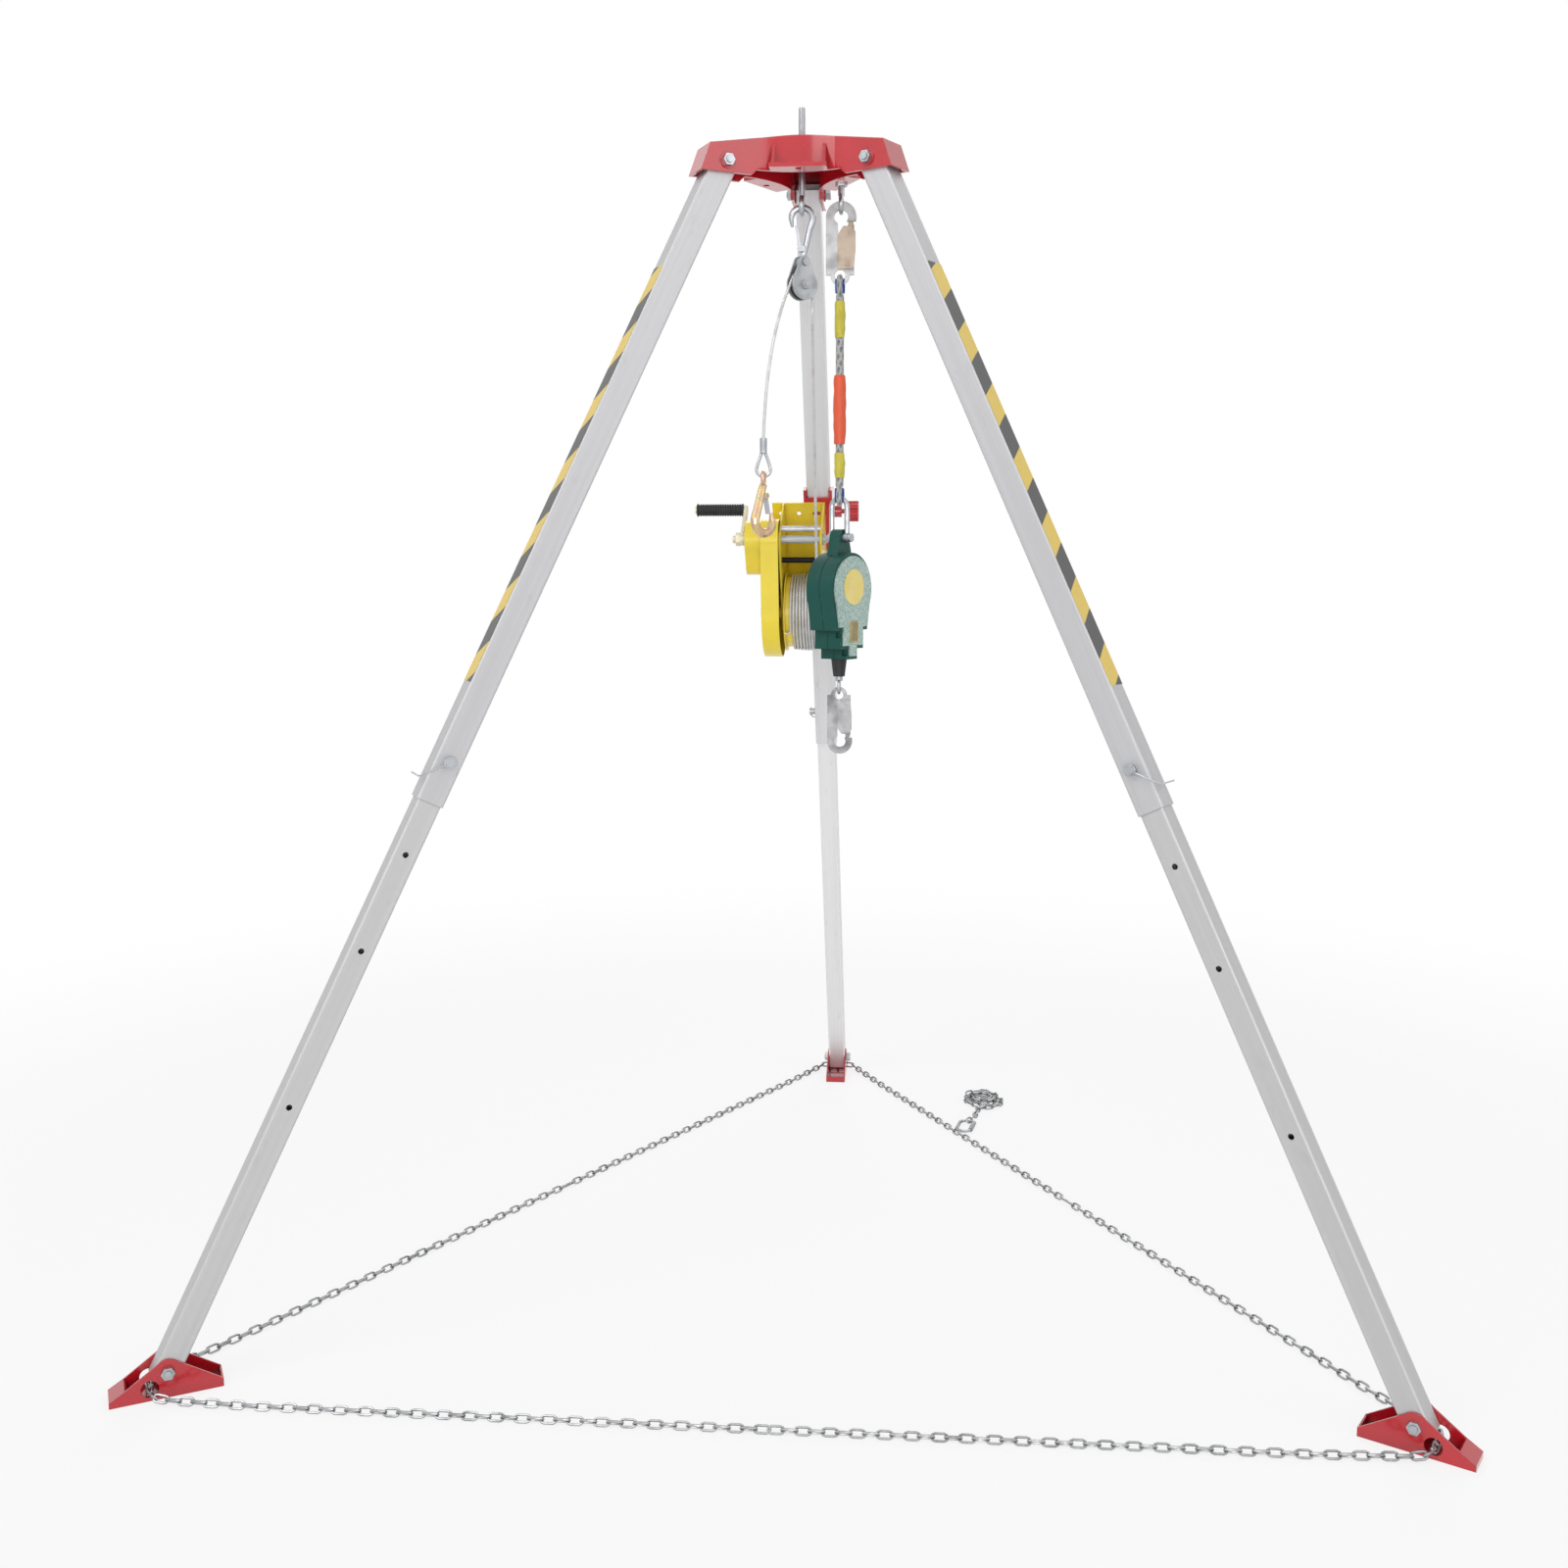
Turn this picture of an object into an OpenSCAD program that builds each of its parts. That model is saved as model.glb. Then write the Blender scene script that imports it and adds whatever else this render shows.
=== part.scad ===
/* [Stand] */
// Height of the leg hinges above the floor
hinge_h = 2060; // [1900:5:2200]
// Distance of the leg hinges from the load axis
hinge_r = 159; // [150:1:175]
// Leg length from hinge to foot pivot
leg_l = 2250; // [2200:5:2400]
// Height of the foot pivot above the floor
foot_pivot_h = 43; // [40:1:60]

/* [Tubes] */
// Width of the outer square tube
outer_w = 48; // [44:1:54]
// Wall of both tubes
tube_wall = 2.5; // [2:0.1:3]
// Corner radius of the outer tube
tube_corner = 3.5; // [3:0.1:5]
// Sliding gap between the tubes on each side
tube_gap = 0.5; // [0.3:0.1:0.8]
// Outer tube above the hinge
outer_above = 14; // [12:1:16]
// Outer tube below the hinge
outer_below = 1235; // [1200:5:1260]
// Lock pin below the hinge
pin_s = 1160; // [1140:1:1180]
// Inner tube above the lock pin
inner_above = 100; // [80:1:160]
// Inner tube past the foot pivot
inner_past = 20; // [16:1:24]
// First spare hole below the lock pin
hole_a = 171; // [150:1:190]
// Second spare hole below the lock pin
hole_b = 347; // [320:1:370]
// Third spare hole below the lock pin
hole_c = 628; // [600:1:640]

/* [Fasteners] */
// Diameter of the hinge and foot bolts
bolt_d = 12; // [10:0.5:14]
// Diameter of the lock pins
pin_d = 10; // [8:0.5:12]
// Running clearance of a shaft in its bore, on the radius
run_gap = 0.05; // [0.03:0.01:0.09]
// Gap between pieces that pass each other
pass_gap = 0.5; // [0.4:0.1:0.8]
// Diameter of the lock pin bail wire
bail_d = 3; // [2.5:0.1:4]
// Reach of the bail from the pin
bail_reach = 56; // [52:1:62]

/* [Feet] */
// Wall of the pressed feet
foot_wall = 3; // [2:0.1:4]
// Foot in front of its pivot
foot_front = 90; // [80:1:105]
// Foot behind its pivot
foot_back = 85; // [70:1:100]
// Radius of the boss round the foot bolt
foot_boss = 22; // [20:1:26]
// Diameter of the chain hole in the foot
chain_hole = 28; // [26:1:30]
// Chain hole in front of the foot pivot
chain_hole_r = 28; // [26:1:34]
// Height of the chain hole's centre
chain_hole_h = 20; // [18:1:23]

/* [Chain] */
// Outside width of a link
link_w = 15.5; // [15:0.1:17]
// Height of the chain's centre over the floor
chain_h = 6.6; // [6.4:0.1:9]

/* [Head] */
// Width between the arm walls is the tube plus this gap on each side
arm_gap = 0.5; // [0.3:0.1:0.8]
// Wall of the head casting
head_wall = 6; // [5:0.5:7]
// Reach of the arms at their bottom lip
arm_reach = 209; // [207:1:225]
// Reach of the arms at their top corner
arm_top_reach = 191; // [188:1:194]
// Bottom of the arms below the hinges
arm_below = 20; // [18:1:26]
// Top of the arms above the hinges at the top corner
arm_above = 28; // [27:1:36]
// Top of the head above the hinges at the centre
hub_above = 64; // [62:1:70]
// Radius of the hollow between two arms
hollow_r = 160; // [140:5:180]
// Reach of the ledge between two arms
ledge_reach = 94; // [90:1:100]
// Width of the ledges
ledge_w = 102; // [96:2:112]
// Thickness of the ledges
ledge_t = 8; // [6:1:10]
// Anchor hole in a ledge, from the load axis
anchor_r = 80; // [76:1:84]
// Diameter of the eye bolts
eye_bolt_d = 12; // [10:0.5:14]
// Stem of the centre eye bolt above the hinges
stem_above = 115; // [100:1:130]

/* [Pulley] */
// Height of the sheave axle below the hinges
sheave_below = 197; // [190:1:205]
// Radius of the rope's centre on the sheave
sheave_r = 23; // [22:0.5:26]
// Width of the sheave
sheave_w = 14; // [12:0.5:16]
// Thickness of a pulley plate
plate_t = 3; // [2:0.5:4]
// Turn of the pulley about the load axis
pulley_turn = 40; // [30:1:50]
// Diameter of the wire rope
rope_d = 6; // [5:0.1:6.1]

/* [Winch] */
// Crank axle below the rear hinge, along the leg
crank_s = 665; // [660:1:670]
// Drum and crank axles in front of the leg's centre line
axle_n = 125; // [122:1:132]
// Drum axle below the crank axle, along the leg
axle_gap = 170; // [166:1:176]
// Left side of the winch frame
frame_left = -75; // [-80:1:-72]
// Right side of the winch frame
frame_right = 15; // [12:1:20]
// Sheet thickness of the winch frame
frame_t = 4; // [3:0.5:5]
// Length of the frame's back plate along the leg
frame_l = 300; // [290:5:320]
// Thickness of the clamp bracket
clamp_t = 6; // [4:0.5:8]
// Radius of the gear cover at the drum
cover_r = 96; // [94:1:102]
// Radius of the gear cover at the crank
cover_top_r = 42; // [40:1:48]
// Depth of the gear cover
cover_depth = 37; // [34:1:42]
// Wall of the gear cover
cover_wall = 2.5; // [2:0.1:3]
// Extra depth of the brake housing on the cover
brake_depth = 33; // [28:1:38]
// Radius of the wound rope's centre line
wind_r = 78; // [76:1:80]
// Loops of rope on the drum
wind_loops = 9; // [7:1:9]
// Step from one loop to the next
wind_step = 6.4; // [6.3:0.1:6.6]
// Crank arm length
crank_l = 100; // [90:5:130]
// Length of the crank grip
grip_l = 100; // [90:5:120]
// Diameter of the crank grip
grip_d = 24; // [20:1:28]
// Diameter of the crank shaft
shaft_d = 16; // [14:0.5:18]

/* [Fall arrester] */
// Top of the housing's disc below the hinges
disc_below = 683; // [675:1:690]
// Diameter of the housing's disc
disc_d = 136; // [130:1:140]
// Thickness of the housing
housing_t = 58; // [54:1:62]
// Wall of the housing
housing_wall = 5; // [4:0.5:6]
// Thickness of the face cover
face_t = 4; // [3:0.5:5]
// Turn of the housing about its line
arrester_turn = 60; // [50:1:70]
// Travel of the cable that can be drawn out here
cable_travel = 120; // [100:5:130]
// Diameter of the arrester's cable
cable_d = 5; // [4:0.1:6]
// Diameter of the braided lanyard
lanyard_d = 14; // [12:0.5:16]
// Thickness of the snap hooks' plates
snap_t = 8; // [6:0.5:9]

/* [Hidden] */
$fn = 48;

// Legs in the order left, right, rear: direction, and the side that the pin's head faces
leg_az = [210, 330, 90];
leg_side = [1, -1, 1];

lean = acos((hinge_h - foot_pivot_h) / leg_l);
foot_r = hinge_r + leg_l * sin(lean);
inner_w = outer_w - 2 * tube_wall - 2 * tube_gap;
foot_w = inner_w + 2 * tube_gap + 2 * foot_wall;
// The load axis lies this far behind the middle of the stand's box
axis_y = -(foot_r + foot_front - (foot_r + foot_front) / 2 - foot_w * sin(60) / 2) / 2;

function unit(v) = v / norm(v);
function rot_z(p, a) = [p[0] * cos(a) - p[1] * sin(a), p[0] * sin(a) + p[1] * cos(a), p[2]];
// Tangent point on a circle for the straight side that joins it to another circle
function side_angle(r_a, r_b, d) = asin((r_a - r_b) / d);

// Direction of a path at one of its points
function way(path, i) = unit(path[min(i + 1, len(path) - 1)] - path[max(i - 1, 0)]);
// One ring of a tube round a path, square to its direction
function ring(path, i, r, sides, ref) =
    let (along = way(path, i), across = unit(cross(along, ref)), up = cross(across, along))
    [for (k = [0:sides - 1]) path[i] + r * (cos(360 * k / sides) * across + sin(360 * k / sides) * up)];
// Tube along a path. The radius, and the direction that no stretch follows, are one for all or one a point
module sweep(path, r, sides, ref) {
    n = len(path);
    rings = [for (i = [0:n - 1])
        each ring(path, i, is_list(r) ? r[i] : r, sides, is_list(ref[0]) ? ref[i] : ref)];
    walls = [for (i = [0:n - 2]) for (k = [0:sides - 1])
        let (a = i * sides + k, b = i * sides + (k + 1) % sides)
        each [[a, b, b + sides], [a, b + sides, a + sides]]];
    caps = [for (k = [1:sides - 2])
        each [[0, k + 1, k], [(n - 1) * sides, (n - 1) * sides + k, (n - 1) * sides + k + 1]]];
    polyhedron(points = rings, faces = concat(walls, caps));
}
// Points of an arc in the plane of two directions
function arc(centre, r, from, to, steps, dir_a, dir_b) =
    [for (i = [0:steps]) let (a = from + (to - from) * i / steps)
        centre + r * (cos(a) * dir_a + sin(a) * dir_b)];

module rounded(w, h, r) {
    square([w - 2 * r, h], center = true);
    square([w, h - 2 * r], center = true);
    for (x = [-1, 1]) for (y = [-1, 1]) translate([x * (w / 2 - r), y * (h / 2 - r)]) circle(r);
}
module hex_head(across, h) cylinder(h = h, d = across / cos(30), $fn = 6);
// Two circles joined by their straight outer sides, the second one d above the first
side_bite = 0.3;
module joined_circles(r_a, r_b, d) {
    a = side_angle(r_a, r_b, d);
    in_a = r_a - side_bite;
    in_b = r_b - side_bite;
    circle(r_a);
    translate([0, d]) circle(r_b);
    polygon([[-in_a * cos(a), in_a * sin(a)], [in_a * cos(a), in_a * sin(a)],
        [in_b * cos(a), d + in_b * sin(a)], [-in_b * cos(a), d + in_b * sin(a)]]);
}

// Places: an arm of the head, a leg, a foot, the pulley block and the winch
module on_arm(az) translate([0, axis_y, 0]) rotate([0, 0, az]) children();
module on_leg(az) on_arm(az) translate([hinge_r, 0, hinge_h]) rotate([0, -lean, 0]) children();
module on_foot(az) on_arm(az) translate([foot_r, 0, 0]) children();
module on_pulley() translate([0, axis_y, hinge_h]) rotate([0, 0, pulley_turn]) children();
// The winch's own axes are out from the leg, across to the right, and up the leg
module on_winch() on_leg(90) rotate([0, 0, 180]) children();

// Head
arm_in = outer_w / 2 + arm_gap;
arm_out = arm_in + head_wall;
head_bottom = hinge_h - arm_below;
hub_top = hinge_h + hub_above;
arm_top = hinge_h + arm_above;
end_slope = atan((arm_reach - arm_top_reach) / (arm_above + arm_below));
bolt_bore = bolt_d / 2 + run_gap;
eye_bore = eye_bolt_d / 2 + run_gap;
// Nut face over the arm's wall: a low boss carries it
boss_t = 2.5;
boss_r = bolt_d + 2;
ledge_z = hinge_h - ledge_t - 2;
step_r = 106;
anchor_az = 30;

// The hollow's arc meets the arm walls at a slight angle
hollow_bite = 1;
// Plan of the head, with a round hollow between each two arms
module head_plan(half, r, reach) {
    corner = half / sin(60);
    tangent = r / tan(60);
    for (az = leg_az) rotate(az) translate([0, -half]) square([reach, 2 * half]);
    for (az = leg_az) rotate(az + 60) difference() {
        polygon([[0, 0], [corner + tangent * cos(60), -tangent * sin(60)],
            [corner + tangent * cos(60), tangent * sin(60)]]);
        translate([(half + r - hollow_bite) / sin(60), 0]) circle(r, $fn = 96);
    }
}
// Length of the arms that their sloped ends cut off
arm_spare = 20;
// The head's outside, or its inside when drawn in by the wall
module head_form(inset, from) {
    difference() {
        intersection() {
            translate([0, 0, from]) linear_extrude(hub_top - from)
                head_plan(arm_out - inset, hollow_r + inset, arm_reach + arm_spare);
            rotate_extrude() polygon([[0, from], [2 * arm_reach, from], [2 * arm_reach, arm_top - inset],
                [arm_top_reach, arm_top - inset], [0, hub_top - inset]]);
        }
        for (az = leg_az) rotate([0, 0, az]) translate([arm_reach - inset, 0, head_bottom])
            rotate([0, -end_slope, 0]) translate([0, -arm_reach / 4, -arm_reach / 2])
                cube([arm_reach, arm_reach / 2, 2 * arm_reach]);
    }
}
module head_casting() color("firebrick") translate([0, axis_y, 0]) difference() {
    union() {
        difference() {
            head_form(0, head_bottom);
            head_form(head_wall, head_bottom - 1);
        }
        cylinder_at(hub_top - 3 * head_wall, hub_top - head_wall / 2, eye_bolt_d + head_wall);
        for (az = leg_az) rotate([0, 0, az]) {
            for (s = [-1, 1]) translate([hinge_r, s * (arm_out - 1), hinge_h]) rotate([-90 * s, 0, 0])
                cylinder(h = boss_t + 1, r = boss_r);
            stop_wall();
            rotate([0, 0, 60]) ledge();
        }
    }
    cylinder_at(head_bottom, hub_top + 1, eye_bore);
    // The walls end at the ledges near the middle and drop to the arms' bottom further out
    cone_at(head_bottom - 1, ledge_z, step_r + ledge_z - head_bottom + 1, step_r);
    for (az = leg_az) rotate([0, 0, az]) {
        translate([hinge_r, 0, hinge_h]) rotate([90, 0, 0])
            cylinder(h = 4 * arm_out, r = bolt_bore, center = true);
        rotate([0, 0, 60]) translate([anchor_r, 0, ledge_z - 1]) cylinder(h = ledge_t + 2, r = eye_bore);
    }
}
module cylinder_at(from, to, r) translate([0, 0, from]) cylinder(h = to - from, r = r);
module cone_at(from, to, r_from, r_to) translate([0, 0, from])
    cylinder(h = to - from, r1 = r_from, r2 = r_to, $fn = 96);
// Wall across the arm that stops the leg when it is open
stop_end = 6;
stop_t = 5;
module stop_wall() intersection() {
    translate([hinge_r, 0, hinge_h]) rotate([0, -lean, 0])
        translate([-outer_w / 2 - pass_gap - stop_t, -arm_in - 1, stop_end])
            cube([stop_t, 2 * arm_in + 2, 70]);
    head_form(1, head_bottom);
}
// Flat ledge between two arms, with two gussets under the walls
gusset_t = 6;
gusset_h = 38;
module ledge() {
    wall_at = (arm_out + hollow_r) / sin(60) - hollow_r - head_wall / 2;
    difference() {
        union() {
            translate([wall_at - head_wall, -ledge_w / 2, ledge_z])
                cube([ledge_reach - wall_at + head_wall, ledge_w, ledge_t]);
            for (s = [-1, 1])
                translate([0, s * (ledge_w / 2 - gusset_t) + gusset_t / 2, ledge_z + ledge_t - 1])
                rotate([90, 0, 0]) linear_extrude(gusset_t)
                    polygon([[wall_at, 0], [ledge_reach - 6, 0], [ledge_reach - 10, 4],
                        [wall_at + 10, gusset_h], [wall_at, gusset_h]]);
        }
        translate([0, 0, head_bottom]) linear_extrude(arm_above + arm_below) rotate(-60) rotate(-leg_az[0])
            head_plan(arm_in + 1, hollow_r + head_wall - 1, arm_reach - 20);
    }
}

// Hinge bolt of a leg, with its nut
nut_h = 0.8 * bolt_d;
head_h = 0.65 * bolt_d;
wrench = 1.6 * bolt_d;
module cross_bolt(half) {
    rotate([90, 0, 0]) {
        cylinder(h = 2 * half + 2 * nut_h, d = bolt_d, center = true);
        translate([0, 0, half]) hex_head(wrench, head_h);
        translate([0, 0, -half - nut_h]) hex_head(wrench, nut_h);
    }
}
module head_bolt(i) color("silver") on_arm(leg_az[i]) translate([hinge_r, 0, hinge_h])
    rotate([0, 0, leg_side[i] > 0 ? 180 : 0]) cross_bolt(arm_out + boss_t);

// Eye bolts: the centre one carries the pulley, the other one the fall arrester
eye_wire = 5;
eye_r = 14;
eye_below = 57;
// The thread on the stem is a little thinner than the bolt
stem_d = eye_bolt_d - 0.4;
module eye(r, wire) rotate([0, 90, 0]) rotate_extrude() translate([r, 0]) circle(wire);
module centre_eye_bolt() color("silver") translate([0, axis_y, hinge_h]) {
    translate([0, 0, -eye_below]) eye(eye_r, eye_wire);
    cylinder_at(-eye_below + eye_r, hub_above, eye_bolt_d / 2);
    cylinder_at(hub_above - 1, stem_above, stem_d / 2);
    translate([0, 0, hub_above - 3 * head_wall - nut_h]) hex_head(wrench, nut_h);
}
anchor_wire = 4;
anchor_eye_r = 15;
anchor_eye_below = 46;
module on_anchor() translate([0, axis_y, 0]) translate(rot_z([anchor_r, 0, hinge_h], anchor_az)) children();
module anchor_eye_bolt() color("silver") on_anchor() {
    translate([0, 0, -anchor_eye_below]) eye(anchor_eye_r, anchor_wire);
    cylinder_at(-anchor_eye_below + anchor_eye_r, ledge_z - hinge_h + ledge_t + 1.5 * nut_h, eye_bolt_d / 2);
    translate([0, 0, ledge_z - hinge_h + ledge_t]) hex_head(wrench, nut_h);
    translate([0, 0, ledge_z - hinge_h - nut_h / 2]) hex_head(wrench, nut_h / 2);
}

// Legs
inner_top = pin_s - inner_above;
inner_end = leg_l + inner_past;
pin_bore = pin_d / 2 + run_gap;
module square_tube(w, wall, corner, from, to) translate([0, 0, -to]) linear_extrude(to - from) difference() {
    rounded(w, w, corner);
    rounded(w - 2 * wall, w - 2 * wall, corner - wall);
}
module cross_bore(s, r) translate([0, 0, -s]) rotate([90, 0, 0])
    cylinder(h = 2 * outer_w, r = r, center = true);
module outer_tube(i) color("gainsboro") on_leg(leg_az[i]) difference() {
    square_tube(outer_w, tube_wall, tube_corner, -outer_above, outer_below);
    cross_bore(0, bolt_bore);
    cross_bore(pin_s, pin_bore);
}
module inner_tube(i) color("whitesmoke") on_leg(leg_az[i]) difference() {
    square_tube(inner_w, tube_wall, tube_corner, inner_top, inner_end);
    for (s = [0, hole_a, hole_b, hole_c]) cross_bore(pin_s + s, pin_bore);
    cross_bore(leg_l, bolt_bore);
}

// Lock pin with its wire bail, which lies across the tube's outward face
collar_h = 3;
collar_r = 9;
knob_r = 7.5;
knob_h = 14;
pin_out = 8;
module facing(i) {
    if (leg_side[i] > 0) children();
    else mirror([0, 1, 0]) children();
}
module on_pin(i) on_leg(leg_az[i]) facing(i) translate([0, 0, -pin_s]) children();
module lock_pin(i) color("silver") on_pin(i) rotate([-90, 0, 0]) {
    translate([0, 0, -outer_w / 2 - pin_out]) cylinder(h = outer_w + pin_out + 1, d = pin_d);
    translate([0, 0, outer_w / 2]) cylinder(h = collar_h, r = collar_r);
    translate([0, 0, outer_w / 2]) cylinder(h = knob_h, r = knob_r);
}
bail_drop = 46;
bail_at = outer_w / 2 + knob_h - 3;
bail_way = [cos(bail_drop), 0, -sin(bail_drop)];
bail_ref = [sin(bail_drop), 0, cos(bail_drop)];
bail_bend = 7;
bail_start = knob_r + 0.3;
module pin_bail(i) color("silver") on_pin(i) {
    centre = (bail_reach - bail_bend) * bail_way + [0, bail_at - bail_bend, 0];
    sweep(concat([bail_start * bail_way + [0, bail_at, 0]],
        arc(centre, bail_bend, 90, 0, 4, bail_way, [0, 1, 0]),
        [bail_reach * bail_way - [0, outer_w / 2, 0]]), bail_d / 2, 8, bail_ref);
    translate([0, bail_at, 0]) rotate([90, 0, 0]) difference() {
        cylinder(h = bail_d, r = bail_start + bail_d / 2 + 1, center = true);
        cylinder(h = 2 * bail_d, r = knob_r + run_gap, center = true);
    }
}

// Feet
foot_half = foot_w / 2;
foot_in = foot_half - foot_wall;
foot_tip_h = 10;
foot_nose = [foot_front - 24, 24];
foot_heel_h = 14;
boss_in = foot_boss - side_bite;
module foot_side() difference() {
    union() {
        translate([0, foot_pivot_h]) circle(foot_boss);
        polygon([[-foot_back, 0], [-foot_back, foot_heel_h],
            [boss_in * cos(122), foot_pivot_h + boss_in * sin(122)],
            [boss_in * cos(48), foot_pivot_h + boss_in * sin(48)],
            foot_nose, [foot_front, foot_tip_h], [foot_front, 0]]);
    }
    translate([0, foot_pivot_h]) circle(bolt_bore);
    translate([chain_hole_r, chain_hole_h]) circle(chain_hole / 2);
}
module foot_across(half) translate([0, half, 0]) rotate([90, 0, 0]) linear_extrude(2 * half) children();
module foot(i) color("firebrick") on_foot(leg_az[i]) {
    for (s = [-1, 1]) translate([0, s * (foot_half - foot_wall / 2), 0])
        foot_across(foot_wall / 2) foot_side();
    foot_across(foot_in + 1) {
        translate([-foot_back, 0]) square([foot_back + foot_front, foot_wall]);
        translate([-foot_back, 0]) square([foot_wall, foot_heel_h]);
        polygon([foot_nose, [foot_front, foot_tip_h], [foot_front, 0], [foot_front - foot_wall, 0],
            [foot_front - foot_wall, foot_tip_h - foot_wall], foot_nose - [foot_wall, foot_wall]]);
    }
}
module foot_bolt(i) color("silver") on_foot(leg_az[i]) translate([0, 0, foot_pivot_h])
    rotate([0, 0, leg_side[i] > 0 ? 180 : 0]) cross_bolt(foot_half + 0.2);

// Chain: a plain round cord here, as wide as its links lie, in three lengths that meet between the feet
chain_r = 0.4 * link_w;
chain_exit = [chain_hole_r - 30, 56, 10];
mid_reach = (foot_r + chain_exit[0]) * cos(60) + chain_exit[1] * sin(60);
chain_way = [-cos(30), sin(30)];
chain_end = 0.3;
chain_mid = [mid_reach * cos(60) - foot_r - chain_end * chain_way[0],
    mid_reach * sin(60) - chain_end * chain_way[1], chain_h];
// The chain lies in the bottom of the foot's holes
chain_seat = chain_hole_h - chain_hole / 2 + chain_r + 0.3;
chain_half = [[chain_hole_r, 0, chain_seat], [chain_hole_r, 20, chain_seat],
    [chain_hole_r - 1, 32, chain_seat], [chain_hole_r - 8, 42, chain_seat], chain_exit,
    [chain_exit[0] + 140 * chain_way[0], chain_exit[1] + 140 * chain_way[1], chain_h], chain_mid];
chain_n = len(chain_half);
chain_path = concat([for (i = [1:chain_n - 1]) [chain_half[chain_n - i][0], -chain_half[chain_n - i][1],
    chain_half[chain_n - i][2]]], chain_half);
module chain(i) color("silver") on_foot(leg_az[i]) sweep(chain_path, chain_r, 8, [0, 0, 1]);
// Carabiner beside the chain on the right rear side, and the spare chain that it holds
clip_wire = 4;
clip_r = 17;
clip_l = 40;
clip_turn = 78;
clip_way = [cos(clip_turn), sin(clip_turn), 0];
// The carabiner sits a little under half way from the middle of the side to the rear foot
side_half = (foot_r + chain_exit[0]) * sin(60) - chain_exit[1] * cos(60);
clip_along = 0.484 * side_half;
chain_out = [cos(30), sin(30), 0];
clip_on_chain = mid_reach * chain_out + clip_along * [-sin(30), cos(30), 0];
clip_gap = 0.3;
clip_a = clip_on_chain + (chain_r + clip_gap + clip_r + clip_wire) * chain_out + [0, 0, chain_h];
clip_side = [-clip_way[1], clip_way[0], 0];
module carabiner() color("silver") translate([0, axis_y, 0]) {
    sweep(concat(arc(clip_a, clip_r, -180, 0, 8, clip_side, clip_way),
        arc(clip_a + clip_l * clip_way, clip_r, 0, 180, 8, clip_side, clip_way)), clip_wire, 8, [0, 0, 1]);
    translate(clip_a - clip_r * clip_side + clip_l / 2 * clip_way)
        rotate([0, 0, clip_turn]) rotate([0, 90, 0])
        cylinder(h = clip_l + 2 * clip_wire, r = clip_wire + 1.5, center = true);
}
spare_start = clip_a + (clip_l + clip_r + clip_wire + clip_gap) * clip_way;
spare_lead = [[18.7, 36.5, 0], [22.7, 66.5, 0]];
spare_centre = spare_start + [37.7, 148.5, 0];
spare_r = 50;
spare_loops = 1.5;
spare_step = 2.4 * chain_r;
spare_from = -100;
module spare_chain() color("silver") translate([0, axis_y, 0])
    sweep(concat([spare_start, spare_start + spare_lead[0], spare_start + spare_lead[1]],
        [for (i = [0:24 * spare_loops]) let (a = spare_from + 15 * i, r = spare_r - spare_step * i / 24)
            spare_centre + [r * cos(a), r * sin(a), 0]]), chain_r, 8, [0, 0, 1]);

// Safety hooks: the pulley's hook, which hangs upside down, and the load hook
latch_pin = 4;
latch_w = 5;
latch_half = 4;
function hook_path(r, l) = concat([[0, 0, l], [-0.2 * r, 0, l - 0.45 * r], [-0.7 * r, 0, 0.95 * r]],
    arc([0, 0, 0], r, 150, 380, 11, [1, 0, 0], [0, 0, 1]), [[0.88 * r, 0, 0.7 * r]]);
function latch_at(r, l) = [0.18 * r, 0, l - 0.9 * r];
ear_t = 2;
module hook_body(r, wire, l) {
    n = len(hook_path(r, l)) - 1;
    sweep(hook_path(r, l),
        [for (i = [0:n]) wire * (i < 3 ? 0.8 + 0.07 * i : i > n - 4 ? 0.4 + 0.2 * (n - i) : 1)],
        12, [0, 1, 0]);
    for (s = [-1, 1]) translate(latch_at(r, l) + [0, s * (latch_half + 0.3 + ear_t / 2), 0])
        rotate([90, 0, 0]) linear_extrude(ear_t, center = true) difference() {
            union() {
                circle(latch_w);
                translate([-1.6 * wire, -latch_w]) square([1.6 * wire, 2 * latch_w]);
            }
            circle(latch_pin / 2 + run_gap);
        }
}
module hook_latch(r, l) {
    from = latch_at(r, l);
    to = [0.5 * r, 0, 0.62 * r];
    translate(from) rotate([90, 0, 0]) {
        cylinder(h = 2 * (latch_half + ear_t + 0.5), d = latch_pin, center = true);
        cylinder(h = 2 * latch_half, d = latch_w + 1.5, center = true);
    }
    translate(from) rotate([0, -atan2(to[2] - from[2], to[0] - from[0]), 0])
        translate([0, -latch_half, -latch_w / 2]) cube([norm(to - from), 2 * latch_half, latch_w]);
}

// Pulley
block_top = 157;
hook_r = 20;
hook_wire = 6;
hook_z = -eye_below - eye_r + eye_wire + pass_gap + hook_wire - hook_r;
hook_l = block_top + hook_z - 6;
axle_d = 10;
rivet_d = 8;
rivet_h = 3;
plate_at = sheave_w / 2 + pass_gap;
lug_r = 9.5;
plate_r = sheave_r + 4;
module on_hook() translate([0, axis_y, hinge_h + hook_z]) rotate([0, 180, 0]) children();
module pulley_hook() color("silver") {
    on_hook() hook_body(hook_r, hook_wire, hook_l);
    on_pulley() translate([0, 0, -block_top]) rotate([90, 0, 0]) difference() {
        cylinder(h = 2 * plate_at - 1, r = lug_r, center = true);
        cylinder(h = 3 * plate_at, r = rivet_d / 2 + run_gap, center = true);
    }
}
module pulley_latch() color("silver") on_hook() hook_latch(hook_r, hook_l);
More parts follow.
